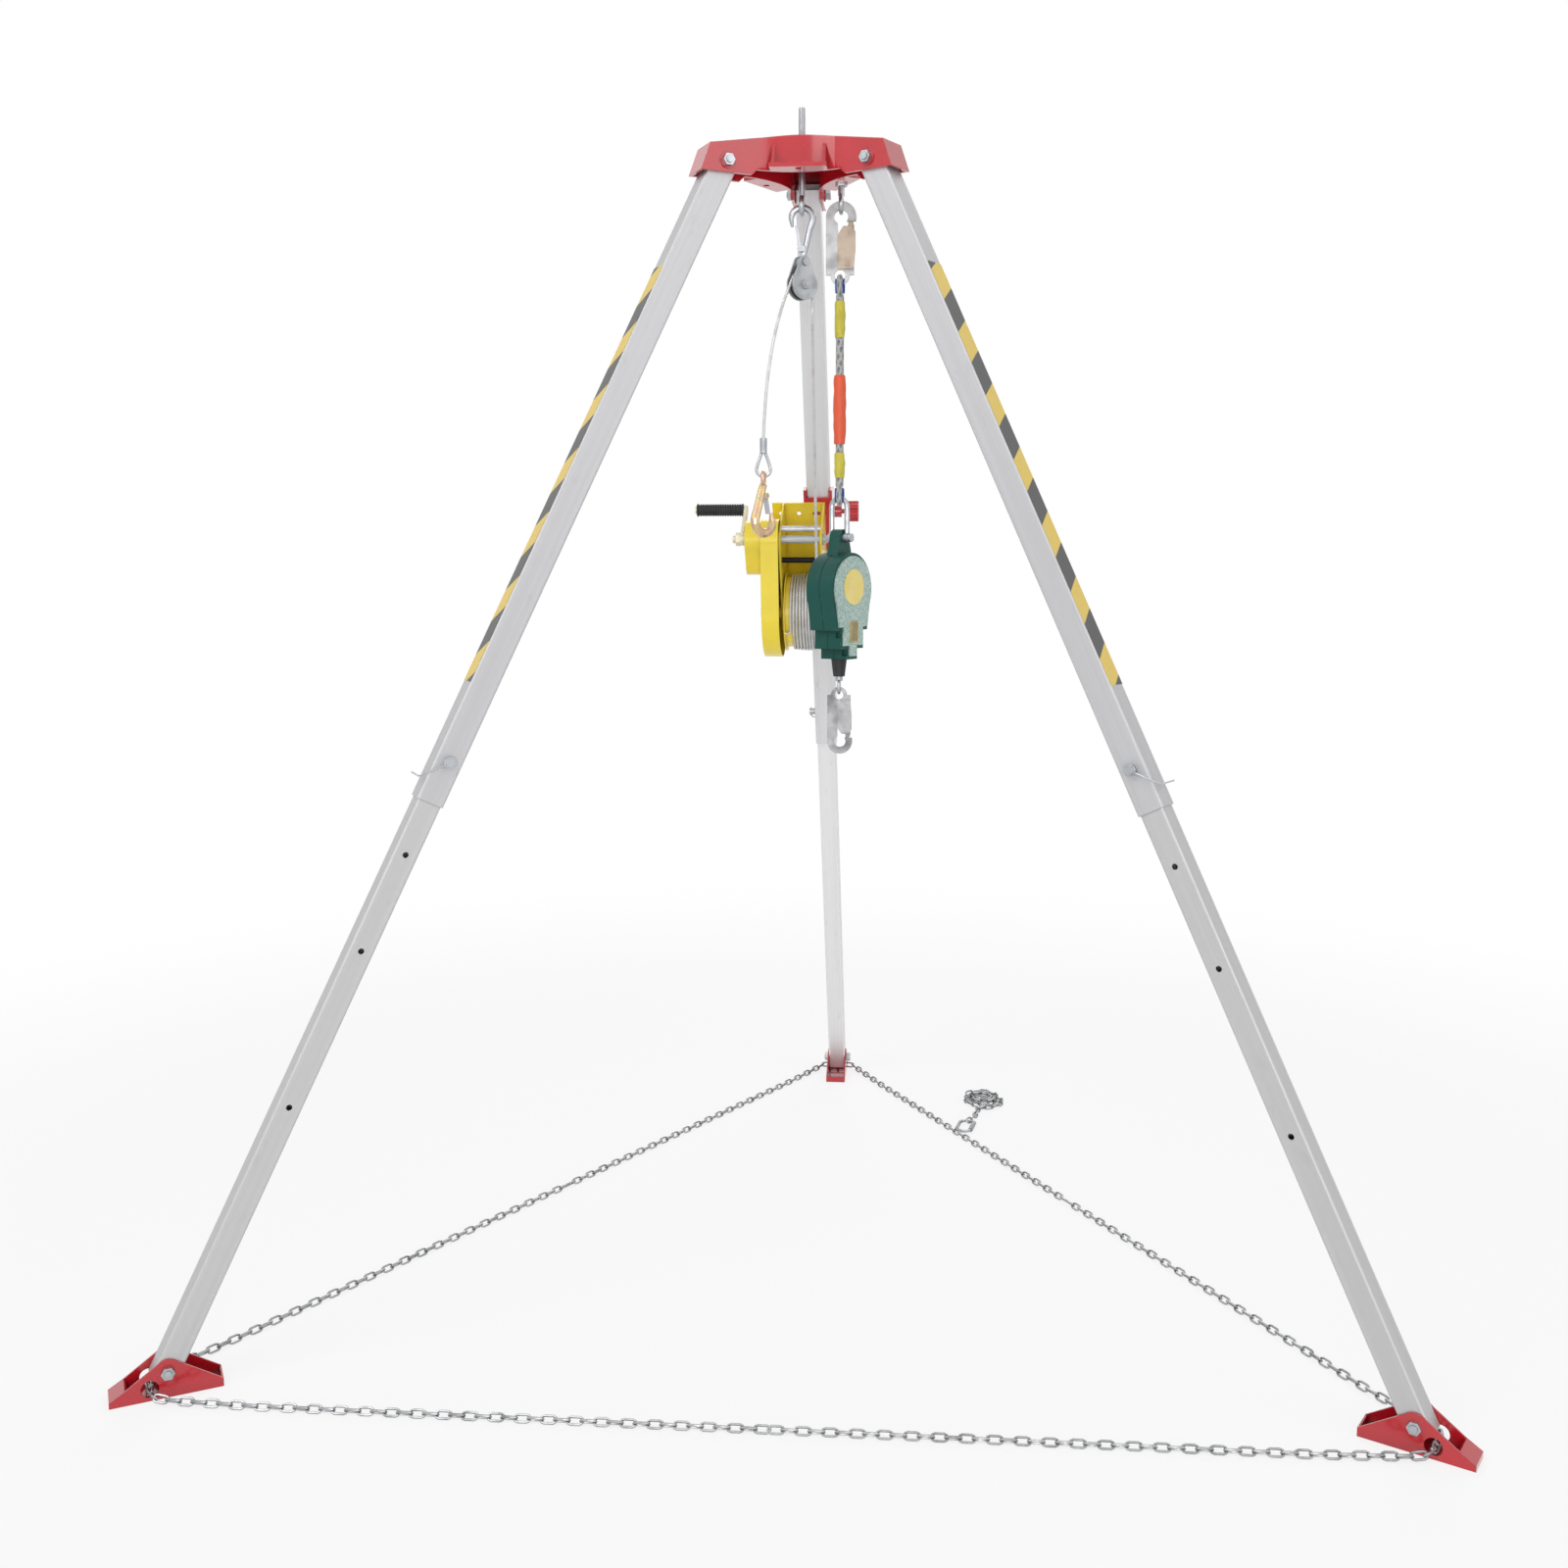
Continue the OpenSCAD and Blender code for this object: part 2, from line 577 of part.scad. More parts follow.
module pulley_plates() color("silver") on_pulley() {
    for (s = [-1, 1]) translate([0, s * (plate_at + plate_t / 2), -sheave_below]) rotate([90, 0, 0])
        linear_extrude(plate_t, center = true) difference() {
            joined_circles(plate_r, 12, sheave_below - block_top);
            circle(axle_d / 2 + run_gap);
        }
    translate([0, 0, -block_top]) rotate([90, 0, 0]) {
        cylinder(h = 2 * plate_at + 2 * plate_t, d = rivet_d, center = true);
        for (s = [-1, 1]) translate([0, 0, s * (plate_at + plate_t + rivet_h / 2)])
            cylinder(h = rivet_h, d = rivet_d + 5, center = true);
    }
}
module pulley_axle() color("silver") on_pulley() translate([0, 0, -sheave_below]) rotate([90, 0, 0]) {
    cylinder(h = 2 * plate_at + 2 * plate_t + 14, d = axle_d, center = true);
    for (s = [0, 180]) rotate([s, 0, 0]) translate([0, 0, plate_at + plate_t]) hex_head(16, 6);
}
groove_r = rope_d / 2 + pass_gap;
module sheave() color("dimgray") on_pulley() translate([0, 0, -sheave_below]) rotate([90, 0, 0])
    difference() {
        cylinder(h = sheave_w, r = sheave_r + 3, center = true);
        cylinder(h = 2 * sheave_w, r = axle_d / 2 + run_gap, center = true);
        rotate_extrude() translate([sheave_r, 0]) circle(groove_r);
        rotate_extrude() translate([sheave_r, -groove_r]) square([10, 2 * groove_r]);
    }

// Rope from the load over the sheave to the drum
drum_s = crank_s + axle_gap;
drum_y = hinge_r + drum_s * sin(lean) - axle_n * cos(lean);
drum_z = -drum_s * cos(lean) - axle_n * sin(lean);
wind_mid = (frame_left + frame_right) / 2;
flange_t = 2.5;
drum_right = frame_right - frame_t - pass_gap - flange_t;
wind_x = drum_right - 1 - rope_d / 2;
load_at = [-66, -55, -477];
rope_plane = [cos(pulley_turn), sin(pulley_turn), 0];
load_fall = [load_at, [-63, -53, -420], [-58, -49, -365], [-50, -42, -310], [-40, -33, -262],
    [-29, -24, -223]];
winch_fall = [[18, 15, -216], [18, 17, -240], [17, 24, -265]];
fall_end = winch_fall[len(winch_fall) - 1];
drum_way = atan2(fall_end[2] - drum_z, fall_end[1] - drum_y)
    + acos(wind_r / norm([fall_end[1] - drum_y, fall_end[2] - drum_z]));
function on_wind(a, x, r) = [x, drum_y + r * cos(a), drum_z + r * sin(a)];
wind_start = on_wind(drum_way, wind_x, wind_r);
wind_lead = wind_start - rope_d * unit(wind_start - fall_end);
module winch_rope() color("lightgray") translate([0, axis_y, hinge_h])
    sweep(concat(load_fall, arc([0, 0, -sheave_below], sheave_r, 155, 0, 8, rope_plane, [0, 0, 1]),
        winch_fall, [wind_lead]), rope_d / 2, 8, [-sin(pulley_turn), cos(pulley_turn), 0]);

// Rope wound on the drum, one layer, ending square on the left flange
wind_rings = 24;
wind_end = drum_way + 360 * wind_loops;
wind_left = wind_x - wind_loops * wind_step;
wind_turn = [0, -sin(wind_end), cos(wind_end)];
wind_off = [-1, 0, 0];
wind_last = on_wind(wind_end, wind_left, wind_r);
wind_tail = [wind_last + 4 * wind_turn + 1.5 * wind_off, wind_last + 6.5 * wind_turn + 5 * wind_off];
flange_x = wind_tail[1][0] - rope_d;
wind_path = concat([wind_lead],
    [for (i = [0:wind_rings * wind_loops]) on_wind(drum_way + 360 * i / wind_rings,
        wind_x - wind_step * i / wind_rings, wind_r)],
    wind_tail, [wind_tail[1] + rope_d * wind_off]);
wind_gap = min([for (i = [0:len(wind_path) - wind_rings - 4]) for (k = [-3:3])
    norm(wind_path[i] - wind_path[i + wind_rings + k])]) - rope_d;
echo(str("least gap between the loops on the drum, mm: ", wind_gap));
module drum_rope() color("lightgray") translate([0, axis_y, hinge_h])
    sweep(wind_path, rope_d / 2, 6, [for (p = wind_path) unit([0, p[1] - drum_y, p[2] - drum_z])]);

// Rope end: ferrule and loop, load hook
ferrule_l = 27;
ferrule_r = 6.5;
loop_r = 13;
loop_z = -56;
module on_load() translate([0, axis_y, hinge_h] + load_at) children();
module rope_ferrule() color("silver") on_load() {
    cylinder_at(-ferrule_l, 0, ferrule_r);
    sweep(concat([[-rope_d / 2 - 0.2, 0, -ferrule_l + 1], [-0.75 * loop_r, 0, loop_z + 0.9 * loop_r]],
        arc([0, 0, loop_z], loop_r, 180, 360, 10, [1, 0, 0], [0, 0, 1]),
        [[0.75 * loop_r, 0, loop_z + 0.9 * loop_r], [rope_d / 2 + 0.2, 0, -ferrule_l + 1]]),
        rope_d / 2, 8, [0, 1, 0]);
}
load_eye_r = 11;
load_eye_wire = 4;
load_eye_z = loop_z - loop_r + rope_d / 2 + pass_gap + load_eye_wire - load_eye_r;
load_r = 22;
load_wire = 8.6;
load_l = 66;
load_turn = 50;
load_z = load_eye_z - load_eye_r - load_l;
module on_load_hook() on_load() translate([0, 0, load_z]) rotate([0, 0, load_turn]) children();
module load_hook() color("darkkhaki") {
    on_load() translate([0, 0, load_eye_z]) eye(load_eye_r, load_eye_wire);
    on_load_hook() hook_body(load_r, load_wire, load_l);
}
module load_latch() color("silver") on_load_hook() hook_latch(load_r, load_l);

// Winch: clamp on the rear leg
clamp_from = 614;
clamp_to = 735;
ear_up = 18;
clamp_fit = 0.3;
knob_s = 658;
stud_d = 10;
knob_x = 60;
knob_t = 24;
knob_d = 44;
tube_face = outer_w / 2;
clamp_in = tube_face + clamp_fit;
clamp_out = clamp_in + clamp_t;
boss_x = clamp_out + 18;
module winch_clamp() color("firebrick") on_winch() difference() {
    union() {
        translate([-clamp_out, -clamp_out, -clamp_to])
            cube([clamp_out + tube_face + clamp_t, 2 * clamp_out, clamp_to - clamp_from]);
        for (x = [-clamp_out, clamp_in]) translate([tube_face - 14, x, -clamp_from - 1])
            cube([14 + clamp_t, clamp_t, ear_up]);
        translate([0, 0, -knob_s]) along_y(clamp_in + 1) cylinder(h = boss_x - clamp_in - 1, r = 1.3 * stud_d);
    }
    translate([-clamp_in, -clamp_in, -clamp_to - 1])
        cube([clamp_in + tube_face, 2 * clamp_in, clamp_to - clamp_from + 60]);
    translate([0, 0, -knob_s]) along_y(0) cylinder(h = 2 * boss_x, r = stud_d / 2 + run_gap);
}
module along_y(y) translate([0, y, 0]) rotate([-90, 0, 0]) children();
module clamp_knob() color("firebrick") on_winch() translate([0, 0, -knob_s]) {
    along_y(clamp_in) cylinder(h = knob_x - clamp_in + 2, d = stud_d);
    along_y(knob_x) {
        cylinder(h = knob_t, d = 0.75 * knob_d);
        for (a = [0:60:300]) rotate([0, 0, a]) translate([0.34 * knob_d, 0, 0])
            cylinder(h = knob_t, d = 0.32 * knob_d);
    }
}

// Winch frame: back plate and two sides
frame_n = tube_face + clamp_t;
frame_top = 624;
frame_front = axle_n + 33;
// The back plate is wider at its top, behind the gear cover
tab_w = 22;
tab_h = 80;
module frame_side() difference() {
    polygon([[frame_n, -frame_top], [frame_n + 14, -frame_top], [frame_front - 12, -crank_s + 22],
        [frame_front, -crank_s + 6], [frame_front, -drum_s - 20], [axle_n - 5, -frame_top - frame_l],
        [frame_n, -frame_top - frame_l]]);
    translate([axle_n, -crank_s]) circle(shaft_d / 2 + run_gap);
    translate([axle_n, -drum_s]) circle(hub_r + pass_gap);
}
hub_r = 14;
drum_axle_d = 16;
module upright(x, t) translate([0, x + t, 0]) rotate([90, 0, 0]) linear_extrude(t) children();
module winch_frame() color("gold") on_winch() {
    difference() {
        union() {
            translate([frame_n, frame_left, -frame_top - frame_l])
                cube([frame_t, frame_right - frame_left, frame_l]);
            translate([frame_n, frame_left - tab_w, -frame_top - tab_h]) cube([frame_t, tab_w + 1, tab_h]);
        }
        for (x = [frame_left - 4, wind_mid - 11]) translate([0, x, -frame_top - 24]) rotate([0, 90, 0])
            cylinder(h = 3 * frame_n, d = 9);
        for (x = [-4, 0, 4]) translate([0, frame_right - 18 + x, -frame_top - 24]) rotate([0, 90, 0])
            cylinder(h = 3 * frame_n, d = 9);
    }
    for (x = [frame_left, frame_right - frame_t]) upright(x, frame_t) frame_side();
    translate([axle_n, 0, -drum_s]) along_y(frame_right - frame_t) difference() {
        cylinder(h = frame_t, r = hub_r + pass_gap + 1);
        translate([0, 0, -1]) cylinder(h = frame_t + 2, d = drum_axle_d + 2 * run_gap);
    }
}
// Cross rods of the frame, the drum's axle and the idler's pin
pinion_r = 14;
idler_r = 56;
idler_s = crank_s + pinion_r + idler_r;
idler_pin_d = 12;
rod_d = 12;
cover_left = frame_left - cover_depth;
rod_from = frame_left + frame_t;
rod_l = frame_right - frame_left - 2 * frame_t;
axle_head = 10;
// Rods over and under the crank shaft, from its axis
rod_up = [-6, 21];
rod_low = [12, -42];
module frame_rods() color("silver") on_winch() {
    for (at = [rod_up, rod_low]) translate([axle_n + at[0], 0, -crank_s + at[1]]) along_y(rod_from)
        cylinder(h = rod_l, d = rod_d);
    translate([axle_n, 0, -drum_s]) along_y(cover_left) {
        cylinder(h = frame_right - cover_left + 12, d = drum_axle_d);
        translate([0, 0, -axle_head]) hex_head(24, axle_head);
        translate([0, 0, frame_right - cover_left]) hex_head(24, axle_head);
    }
    translate([axle_n, 0, -idler_s]) along_y(cover_left + cover_wall)
        cylinder(h = cover_depth - cover_wall, d = idler_pin_d);
}
// Gear cover with the brake housing on its top end
brake_r = 38;
brake_low_r = 34;
brake_l = 44;
module cover_plan(inset) translate([axle_n, -drum_s])
    joined_circles(cover_r - inset, cover_top_r - inset, axle_gap);
module brake_plan(inset) translate([axle_n, -crank_s - brake_l])
    joined_circles(brake_low_r - inset, brake_r - inset, brake_l);
module gear_cover() color("gold") on_winch() difference() {
    union() {
        difference() {
            upright(cover_left, cover_depth) cover_plan(0);
            upright(cover_left + cover_wall, cover_depth) cover_plan(cover_wall);
        }
        difference() {
            upright(cover_left - brake_depth, brake_depth + 1) brake_plan(0);
            upright(cover_left - brake_depth + cover_wall, brake_depth - cover_wall) brake_plan(cover_wall);
        }
    }
    translate([axle_n, 0, -crank_s]) along_y(cover_left - brake_depth - 1)
        cylinder(h = brake_depth + cover_depth + 2, r = shaft_d / 2 + run_gap);
    translate([axle_n, 0, -drum_s]) along_y(cover_left - 1)
        cylinder(h = 2 * cover_wall, r = drum_axle_d / 2 + run_gap);
}

// Drum with its gear, idler and crank; the wheels in the cover are plain discs at their pitch radius
gear_gap = 0.15;
idler_small_r = 16;
drum_gear_r = axle_gap - pinion_r - idler_r - idler_small_r;
gear_t = 10;
gear_play = 3;
stage_a = frame_left - gear_play - gear_t;
stage_b = stage_a - gear_play - gear_t;
flange_r = 83;
core_r = wind_r - rope_d / 2 - 0.4;
core_wall = 5;
module drum() color("gray") on_winch() translate([axle_n, 0, -drum_s]) difference() {
    union() {
        difference() {
            along_y(flange_x) cylinder(h = drum_right - flange_x, r = core_r);
            along_y(flange_x + core_wall) cylinder(h = drum_right - flange_x, r = core_r - core_wall);
        }
        along_y(flange_x - flange_t) cylinder(h = flange_t, r = flange_r);
        along_y(drum_right) difference() {
            cylinder(h = flange_t, r = flange_r);
            for (a = [0:120:240]) rotate([0, 0, a]) translate([core_r / 2 + 4, 0, -1])
                cylinder(h = 2 * flange_t, r = hub_r + 4);
        }
        along_y(stage_b) cylinder(h = drum_right - stage_b, r = hub_r);
        along_y(stage_b) cylinder(h = gear_t, r = drum_gear_r - gear_gap);
    }
    along_y(stage_b - 1) cylinder(h = 300, r = drum_axle_d / 2 + run_gap);
}
module idler_gear() color("gray") on_winch() translate([axle_n, 0, -idler_s]) difference() {
    union() {
        along_y(stage_a) cylinder(h = gear_t, r = idler_r - gear_gap);
        along_y(stage_b) cylinder(h = gear_t + gear_play + 1, r = idler_small_r - gear_gap);
    }
    along_y(stage_b - 1) cylinder(h = 3 * gear_t, r = idler_pin_d / 2 + run_gap);
}
arm_x = cover_left - brake_depth - 12;
arm_t = 6;
arm_w = 22;
// The arm points back past the leg and a little up along it
arm_turn = 193;
spindle_d = 10;
shaft_end = 16;
module on_crank() on_winch() translate([axle_n, 0, -crank_s]) children();
module crank() color("silver") on_crank() {
    along_y(arm_x - shaft_end) cylinder(h = frame_right + 10 - arm_x + shaft_end, d = shaft_d);
    along_y(arm_x - nut_h) hex_head(24, nut_h);
    along_y(frame_right + 0.3) cylinder(h = 5, d = shaft_d + 8);
    along_y(stage_a) cylinder(h = gear_t, r = pinion_r - gear_gap);
    along_y(cover_left - brake_depth - 5.5) cylinder(h = 5, d = shaft_d + 10);
    rotate([0, arm_turn, 0]) {
        upright(arm_x, arm_t) {
            circle(d = arm_w + 4);
            translate([crank_l, 0]) circle(d = arm_w);
            translate([0, -arm_w / 2]) square([crank_l, arm_w]);
        }
        translate([crank_l, 0, 0]) along_y(arm_x - grip_l - 6) {
            cylinder(h = grip_l + 7, d = spindle_d);
            cylinder(h = 3, d = spindle_d + 6);
        }
    }
}
grip_end = 3;
module crank_grip() color("black") on_crank() rotate([0, arm_turn, 0]) translate([crank_l, 0, 0])
    along_y(arm_x - grip_l - 2.5) difference() {
        union() {
            cylinder(h = grip_l, d = grip_d);
            for (y = [0, grip_l - grip_end]) translate([0, 0, y]) cylinder(h = grip_end, d = grip_d + 4);
        }
        translate([0, 0, -1]) cylinder(h = grip_l + 2, d = spindle_d + 2 * run_gap);
    }

// Snap hooks: a flat hook with an eye at its end, and a gate with two cheeks over the plate
snap_bowl = 13;
snap_bar = 15;
snap_eye = [-2, -104];
snap_eye_r = 18;
snap_eye_bore = 10;
snap_mouth = [-8, -78];
snap_spine = [-28, -6];
gate_pivot = [12, -86];
gate_pin_d = 6;
gate_gap = 0.3;
cheek_t = 2;
rivet_proud = 1.2;
module snap_plan() difference() {
    union() {
        circle(snap_bowl + snap_bar);
        translate([snap_spine[0], snap_eye[1]]) square([snap_spine[1] - snap_spine[0], -snap_eye[1]]);
        translate([snap_spine[0], snap_eye[1]]) square([24 - snap_spine[0], snap_mouth[1] - snap_eye[1]]);
        translate(snap_eye) circle(snap_eye_r);
    }
    circle(snap_bowl);
    translate([snap_spine[1], snap_mouth[1]]) square([60, snap_mouth[0] - snap_mouth[1]]);
    translate(snap_eye) circle(snap_eye_bore);
    translate(gate_pivot) circle(gate_pin_d / 2 + run_gap);
}
module snap_body() rotate([90, 0, 0]) linear_extrude(snap_t, center = true) snap_plan();
module snap_gate_form() rotate([90, 0, 0]) {
    linear_extrude(snap_t, center = true) polygon([[10, snap_mouth[1] + 2], [23, snap_mouth[1] + 2],
        [24, snap_mouth[0] - 8], [22, snap_mouth[0] - 1.4], [13, snap_mouth[0] - 0.8]]);
    for (s = [-1, 1]) translate([0, 0, s * (snap_t / 2 + gate_gap + cheek_t / 2)])
        linear_extrude(cheek_t, center = true)
            polygon([[-6, -94], [23, -94], [26, -58], [26, -26], [20, -17], [4, -17], [-6, -32]]);
    for (s = [-1, 1]) translate([17, -50, s * (snap_t / 2 + gate_gap / 2)])
        cube([12, 34, gate_gap + 0.2], center = true);
    translate([gate_pivot[0], gate_pivot[1], 0])
        cylinder(h = snap_t + 2 * gate_gap + 2 * cheek_t + 2 * rivet_proud, d = gate_pin_d, center = true);
}
// The hook's flat bar hangs on the round of the eye by its two edges
snap_seat = sqrt(pow(anchor_eye_r - anchor_wire - gate_gap, 2) - pow(snap_t / 2, 2));
snap_z = -anchor_eye_below - snap_seat - snap_bowl;
module on_anchor_hook() on_anchor() translate([0, 0, snap_z]) children();
module anchor_hook() color("lightgray") on_anchor_hook() snap_body();
module anchor_gate() color("tan") on_anchor_hook() snap_gate_form();

// Braided lanyard with a loop at each end, and its sleeves
braid_loop_r = 16;
braid_wire = 5;
braid_seat = sqrt(pow(braid_loop_r - braid_wire - gate_gap, 2) - pow(snap_t / 2, 2));
braid_top = snap_z + snap_eye[1] - snap_eye_bore - braid_seat;
shackle_wire = 5;
shackle_in = 12;
shackle_pin_d = 10;
lug_z = -655;
lug_top_r = 16;
bow_r = shackle_in + shackle_wire;
bow_z = -598;
braid_low = bow_z + bow_r - shackle_wire - braid_wire - 0.6 + braid_loop_r;
module lanyard_rope() color("lightgray") on_anchor() translate([snap_eye[0], 0, 0]) {
    for (z = [braid_top, braid_low]) translate([0, 0, z]) eye(braid_loop_r, braid_wire);
    cylinder_at(braid_low + braid_loop_r - 2, braid_top - braid_loop_r + 2, lanyard_d / 2);
}
// Sleeves from top to bottom: upper end, lower end and diameter
sleeves = [[-220, -287, 20], [-355, -481, 24], [-497, -544, 20]];
sleeve_colours = ["gold", "tomato", "gold"];
module lanyard_sleeves() on_anchor() translate([snap_eye[0], 0, 0])
    for (i = [0:2]) color(sleeve_colours[i]) difference() {
        cylinder_at(sleeves[i][1], sleeves[i][0], sleeves[i][2] / 2);
        cylinder_at(sleeves[i][1] - 1, sleeves[i][0] + 1, lanyard_d / 2 + 0.3);
    }

// Shackle, housing and cover share the housing's turn
module on_arrester() on_anchor() translate([snap_eye[0], 0, 0]) rotate([0, 0, arrester_turn]) children();
lug_t = 2 * (shackle_in - pass_gap);
module shackle() color("silver") on_arrester() {
    sweep(concat([[0, -bow_r, lug_z]], arc([0, 0, bow_z], bow_r, 180, 0, 10, [0, 1, 0], [0, 0, 1]),
        [[0, bow_r, lug_z]]), shackle_wire, 10, [1, 0, 0]);
    translate([0, 0, lug_z]) rotate([90, 0, 0]) {
        for (s = [-1, 1]) translate([0, 0, s * bow_r])
            cylinder(h = 2 * shackle_wire, r = 1.8 * shackle_wire, center = true);
        cylinder(h = 2 * bow_r + 4 * shackle_wire, d = shackle_pin_d, center = true);
        translate([0, 0, bow_r + shackle_wire]) cylinder(h = 6, d = shackle_pin_d + 6);
    }
}
disc_z = -disc_below - disc_d / 2;
base_z = -883;
// Half widths of the body under the disc, its neck and its foot, each with its lowest height over the base
body_half = 53;
body_up = 55;
neck_half = 39;
neck_up = 20;
outlet_half = 18;
cavity_r = disc_d / 2 - housing_wall;
cable_bore = cable_d / 2 + pass_gap;
module housing_plan(inset) {
    translate([0, disc_z]) circle(disc_d / 2 - inset, $fn = 96);
    polygon([[-body_half + inset, base_z + body_up + inset], [body_half - inset, base_z + body_up + inset],
        [disc_d / 2 - inset - side_bite, disc_z], [-disc_d / 2 + inset + side_bite, disc_z]]);
    for (part = [[neck_half, neck_up], [outlet_half, 0]])
        translate([-part[0] + inset, base_z + part[1] + inset])
            square([2 * (part[0] - inset), disc_z - base_z - part[1] - inset]);
}
module across_housing(t) rotate([90, 0, 0]) linear_extrude(t, center = true) children();
module arrester_housing() color("darkslategray") on_arrester() difference() {
    union() {
        across_housing(housing_t) housing_plan(0);
        across_housing(lug_t) {
            translate([0, lug_z]) circle(lug_top_r);
            polygon([[-lug_top_r, lug_z], [lug_top_r, lug_z], [1.7 * lug_top_r, -disc_below - 12],
                [-1.7 * lug_top_r, -disc_below - 12]]);
        }
    }
    translate([0, 0, disc_z]) rotate([90, 0, 0])
        cylinder(h = housing_t - 2 * housing_wall, r = cavity_r, center = true);
    translate([0, 0, lug_z]) rotate([90, 0, 0])
        cylinder(h = 2 * housing_t, r = shackle_pin_d / 2 + run_gap, center = true);
    translate([0, 0, base_z - 1]) cylinder(h = disc_z - base_z, r = cable_bore);
    // Windows and notches at the base, on the side that faces the load
    for (part = [[neck_half, neck_up + 26], [outlet_half, 12]]) for (s = [-1, 1])
        translate([s * (part[0] + 2), -housing_t / 2, base_z + part[1]]) cube([12, 22, 10], center = true);
    // Joint line round the middle of the housing
    across_housing(1.2) difference() {
        housing_plan(-1);
        housing_plan(1);
    }
}
label_r = 33;
module arrester_cover() color("lightsteelblue") on_arrester() translate([0, -housing_t / 2 - face_t / 2, 0]) {
    across_housing(face_t) housing_plan(6);
    translate([0, -face_t / 2, disc_z + 4]) rotate([90, 0, 0]) cylinder(h = 0.8, r = label_r);
    translate([-14, -face_t / 2 - 0.8, base_z + 32]) cube([28, 1, 40]);
}
// Cable with its rubber bumper and swivel eye, and the lower snap hook
bumper_l = 33;
swivel_r = 12;
swivel_wire = 3;
low_scale = 0.85;
low_eye_z = base_z - bumper_l - 36;
swivel_z = low_eye_z + low_scale * snap_eye_bore - 1.5 - swivel_wire + swivel_r;
module cable_bumper() color("black") on_arrester() difference() {
    translate([0, 0, base_z - gate_gap - bumper_l]) cylinder(h = bumper_l, r1 = 11, r2 = 15);
    translate([0, 0, base_z - 2 * bumper_l]) cylinder(h = 3 * bumper_l, r = cable_d / 2 + run_gap);
}
module arrester_cable() color("silver") on_anchor() translate([snap_eye[0], 0, 0]) {
    cylinder_at(swivel_z + swivel_r, base_z + cable_travel + 12, cable_d / 2);
    cylinder_at(swivel_z + swivel_r - 1, base_z - gate_gap - bumper_l, 7);
    translate([0, 0, swivel_z]) eye(swivel_r, swivel_wire);
}
module on_snap() on_anchor() translate([snap_eye[0], 0, low_eye_z]) scale(low_scale) mirror([0, 0, 1])
    translate([-snap_eye[0], 0, -snap_eye[1]]) children();
module snap_hook() color("lightgray") on_snap() snap_body();
module snap_gate() color("tan") on_snap() snap_gate_form();

head_casting();
centre_eye_bolt();
anchor_eye_bolt();
head_bolt(0);  // head_bolt_left
head_bolt(1);  // head_bolt_right
head_bolt(2);  // head_bolt_rear
outer_tube(0);  // outer_tube_left
outer_tube(1);  // outer_tube_right
outer_tube(2);  // outer_tube_rear
inner_tube(0);  // inner_tube_left
inner_tube(1);  // inner_tube_right
inner_tube(2);  // inner_tube_rear
lock_pin(0);  // lock_pin_left
lock_pin(1);  // lock_pin_right
lock_pin(2);  // lock_pin_rear
pin_bail(0);  // pin_bail_left
pin_bail(1);  // pin_bail_right
pin_bail(2);  // pin_bail_rear
foot(0);  // foot_left
foot(1);  // foot_right
foot(2);  // foot_rear
foot_bolt(0);  // foot_bolt_left
foot_bolt(1);  // foot_bolt_right
foot_bolt(2);  // foot_bolt_rear
chain(0);  // chain_left
chain(1);  // chain_right
chain(2);  // chain_rear
spare_chain();
carabiner();
pulley_hook();
pulley_latch();
pulley_plates();
pulley_axle();
sheave();
winch_rope();
rope_ferrule();
load_hook();
load_latch();
winch_clamp();
clamp_knob();
winch_frame();
frame_rods();
gear_cover();
drum();
drum_rope();
idler_gear();
crank();
crank_grip();
anchor_hook();
anchor_gate();
lanyard_rope();
lanyard_sleeves();
shackle();
arrester_housing();
arrester_cover();
cable_bumper();
arrester_cable();
snap_hook();
snap_gate();
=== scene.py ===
import math
import bmesh
import bpy
from mathutils import Matrix, Vector
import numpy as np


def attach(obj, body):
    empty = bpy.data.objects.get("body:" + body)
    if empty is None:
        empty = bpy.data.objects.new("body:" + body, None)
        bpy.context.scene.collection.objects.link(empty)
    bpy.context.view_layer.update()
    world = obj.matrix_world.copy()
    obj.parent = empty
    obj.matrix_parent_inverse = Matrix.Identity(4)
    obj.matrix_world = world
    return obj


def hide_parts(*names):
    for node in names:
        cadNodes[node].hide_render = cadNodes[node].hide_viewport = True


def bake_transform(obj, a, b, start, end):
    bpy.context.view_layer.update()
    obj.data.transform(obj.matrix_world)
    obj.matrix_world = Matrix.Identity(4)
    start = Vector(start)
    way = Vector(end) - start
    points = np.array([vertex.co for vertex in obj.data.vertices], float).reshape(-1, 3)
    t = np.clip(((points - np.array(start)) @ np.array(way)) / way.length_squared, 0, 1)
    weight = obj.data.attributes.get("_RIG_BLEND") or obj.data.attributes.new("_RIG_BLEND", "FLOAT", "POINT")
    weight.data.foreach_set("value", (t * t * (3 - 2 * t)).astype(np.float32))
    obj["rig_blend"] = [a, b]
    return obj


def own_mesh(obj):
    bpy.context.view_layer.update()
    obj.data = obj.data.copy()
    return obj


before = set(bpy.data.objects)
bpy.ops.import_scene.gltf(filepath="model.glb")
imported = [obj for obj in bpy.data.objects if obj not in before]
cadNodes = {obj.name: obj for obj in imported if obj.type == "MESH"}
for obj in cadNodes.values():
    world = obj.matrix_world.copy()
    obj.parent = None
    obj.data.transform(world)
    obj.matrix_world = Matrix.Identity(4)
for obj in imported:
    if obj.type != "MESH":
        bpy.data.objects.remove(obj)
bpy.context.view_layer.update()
legNames = ("left", "right", "rear")
upward = Vector((0, 0, 1))
quarterTurn = math.pi / 2
turnParts = 24  # points in a full turn of a coil
print("frame loaded,", len(cadNodes), "nodes")

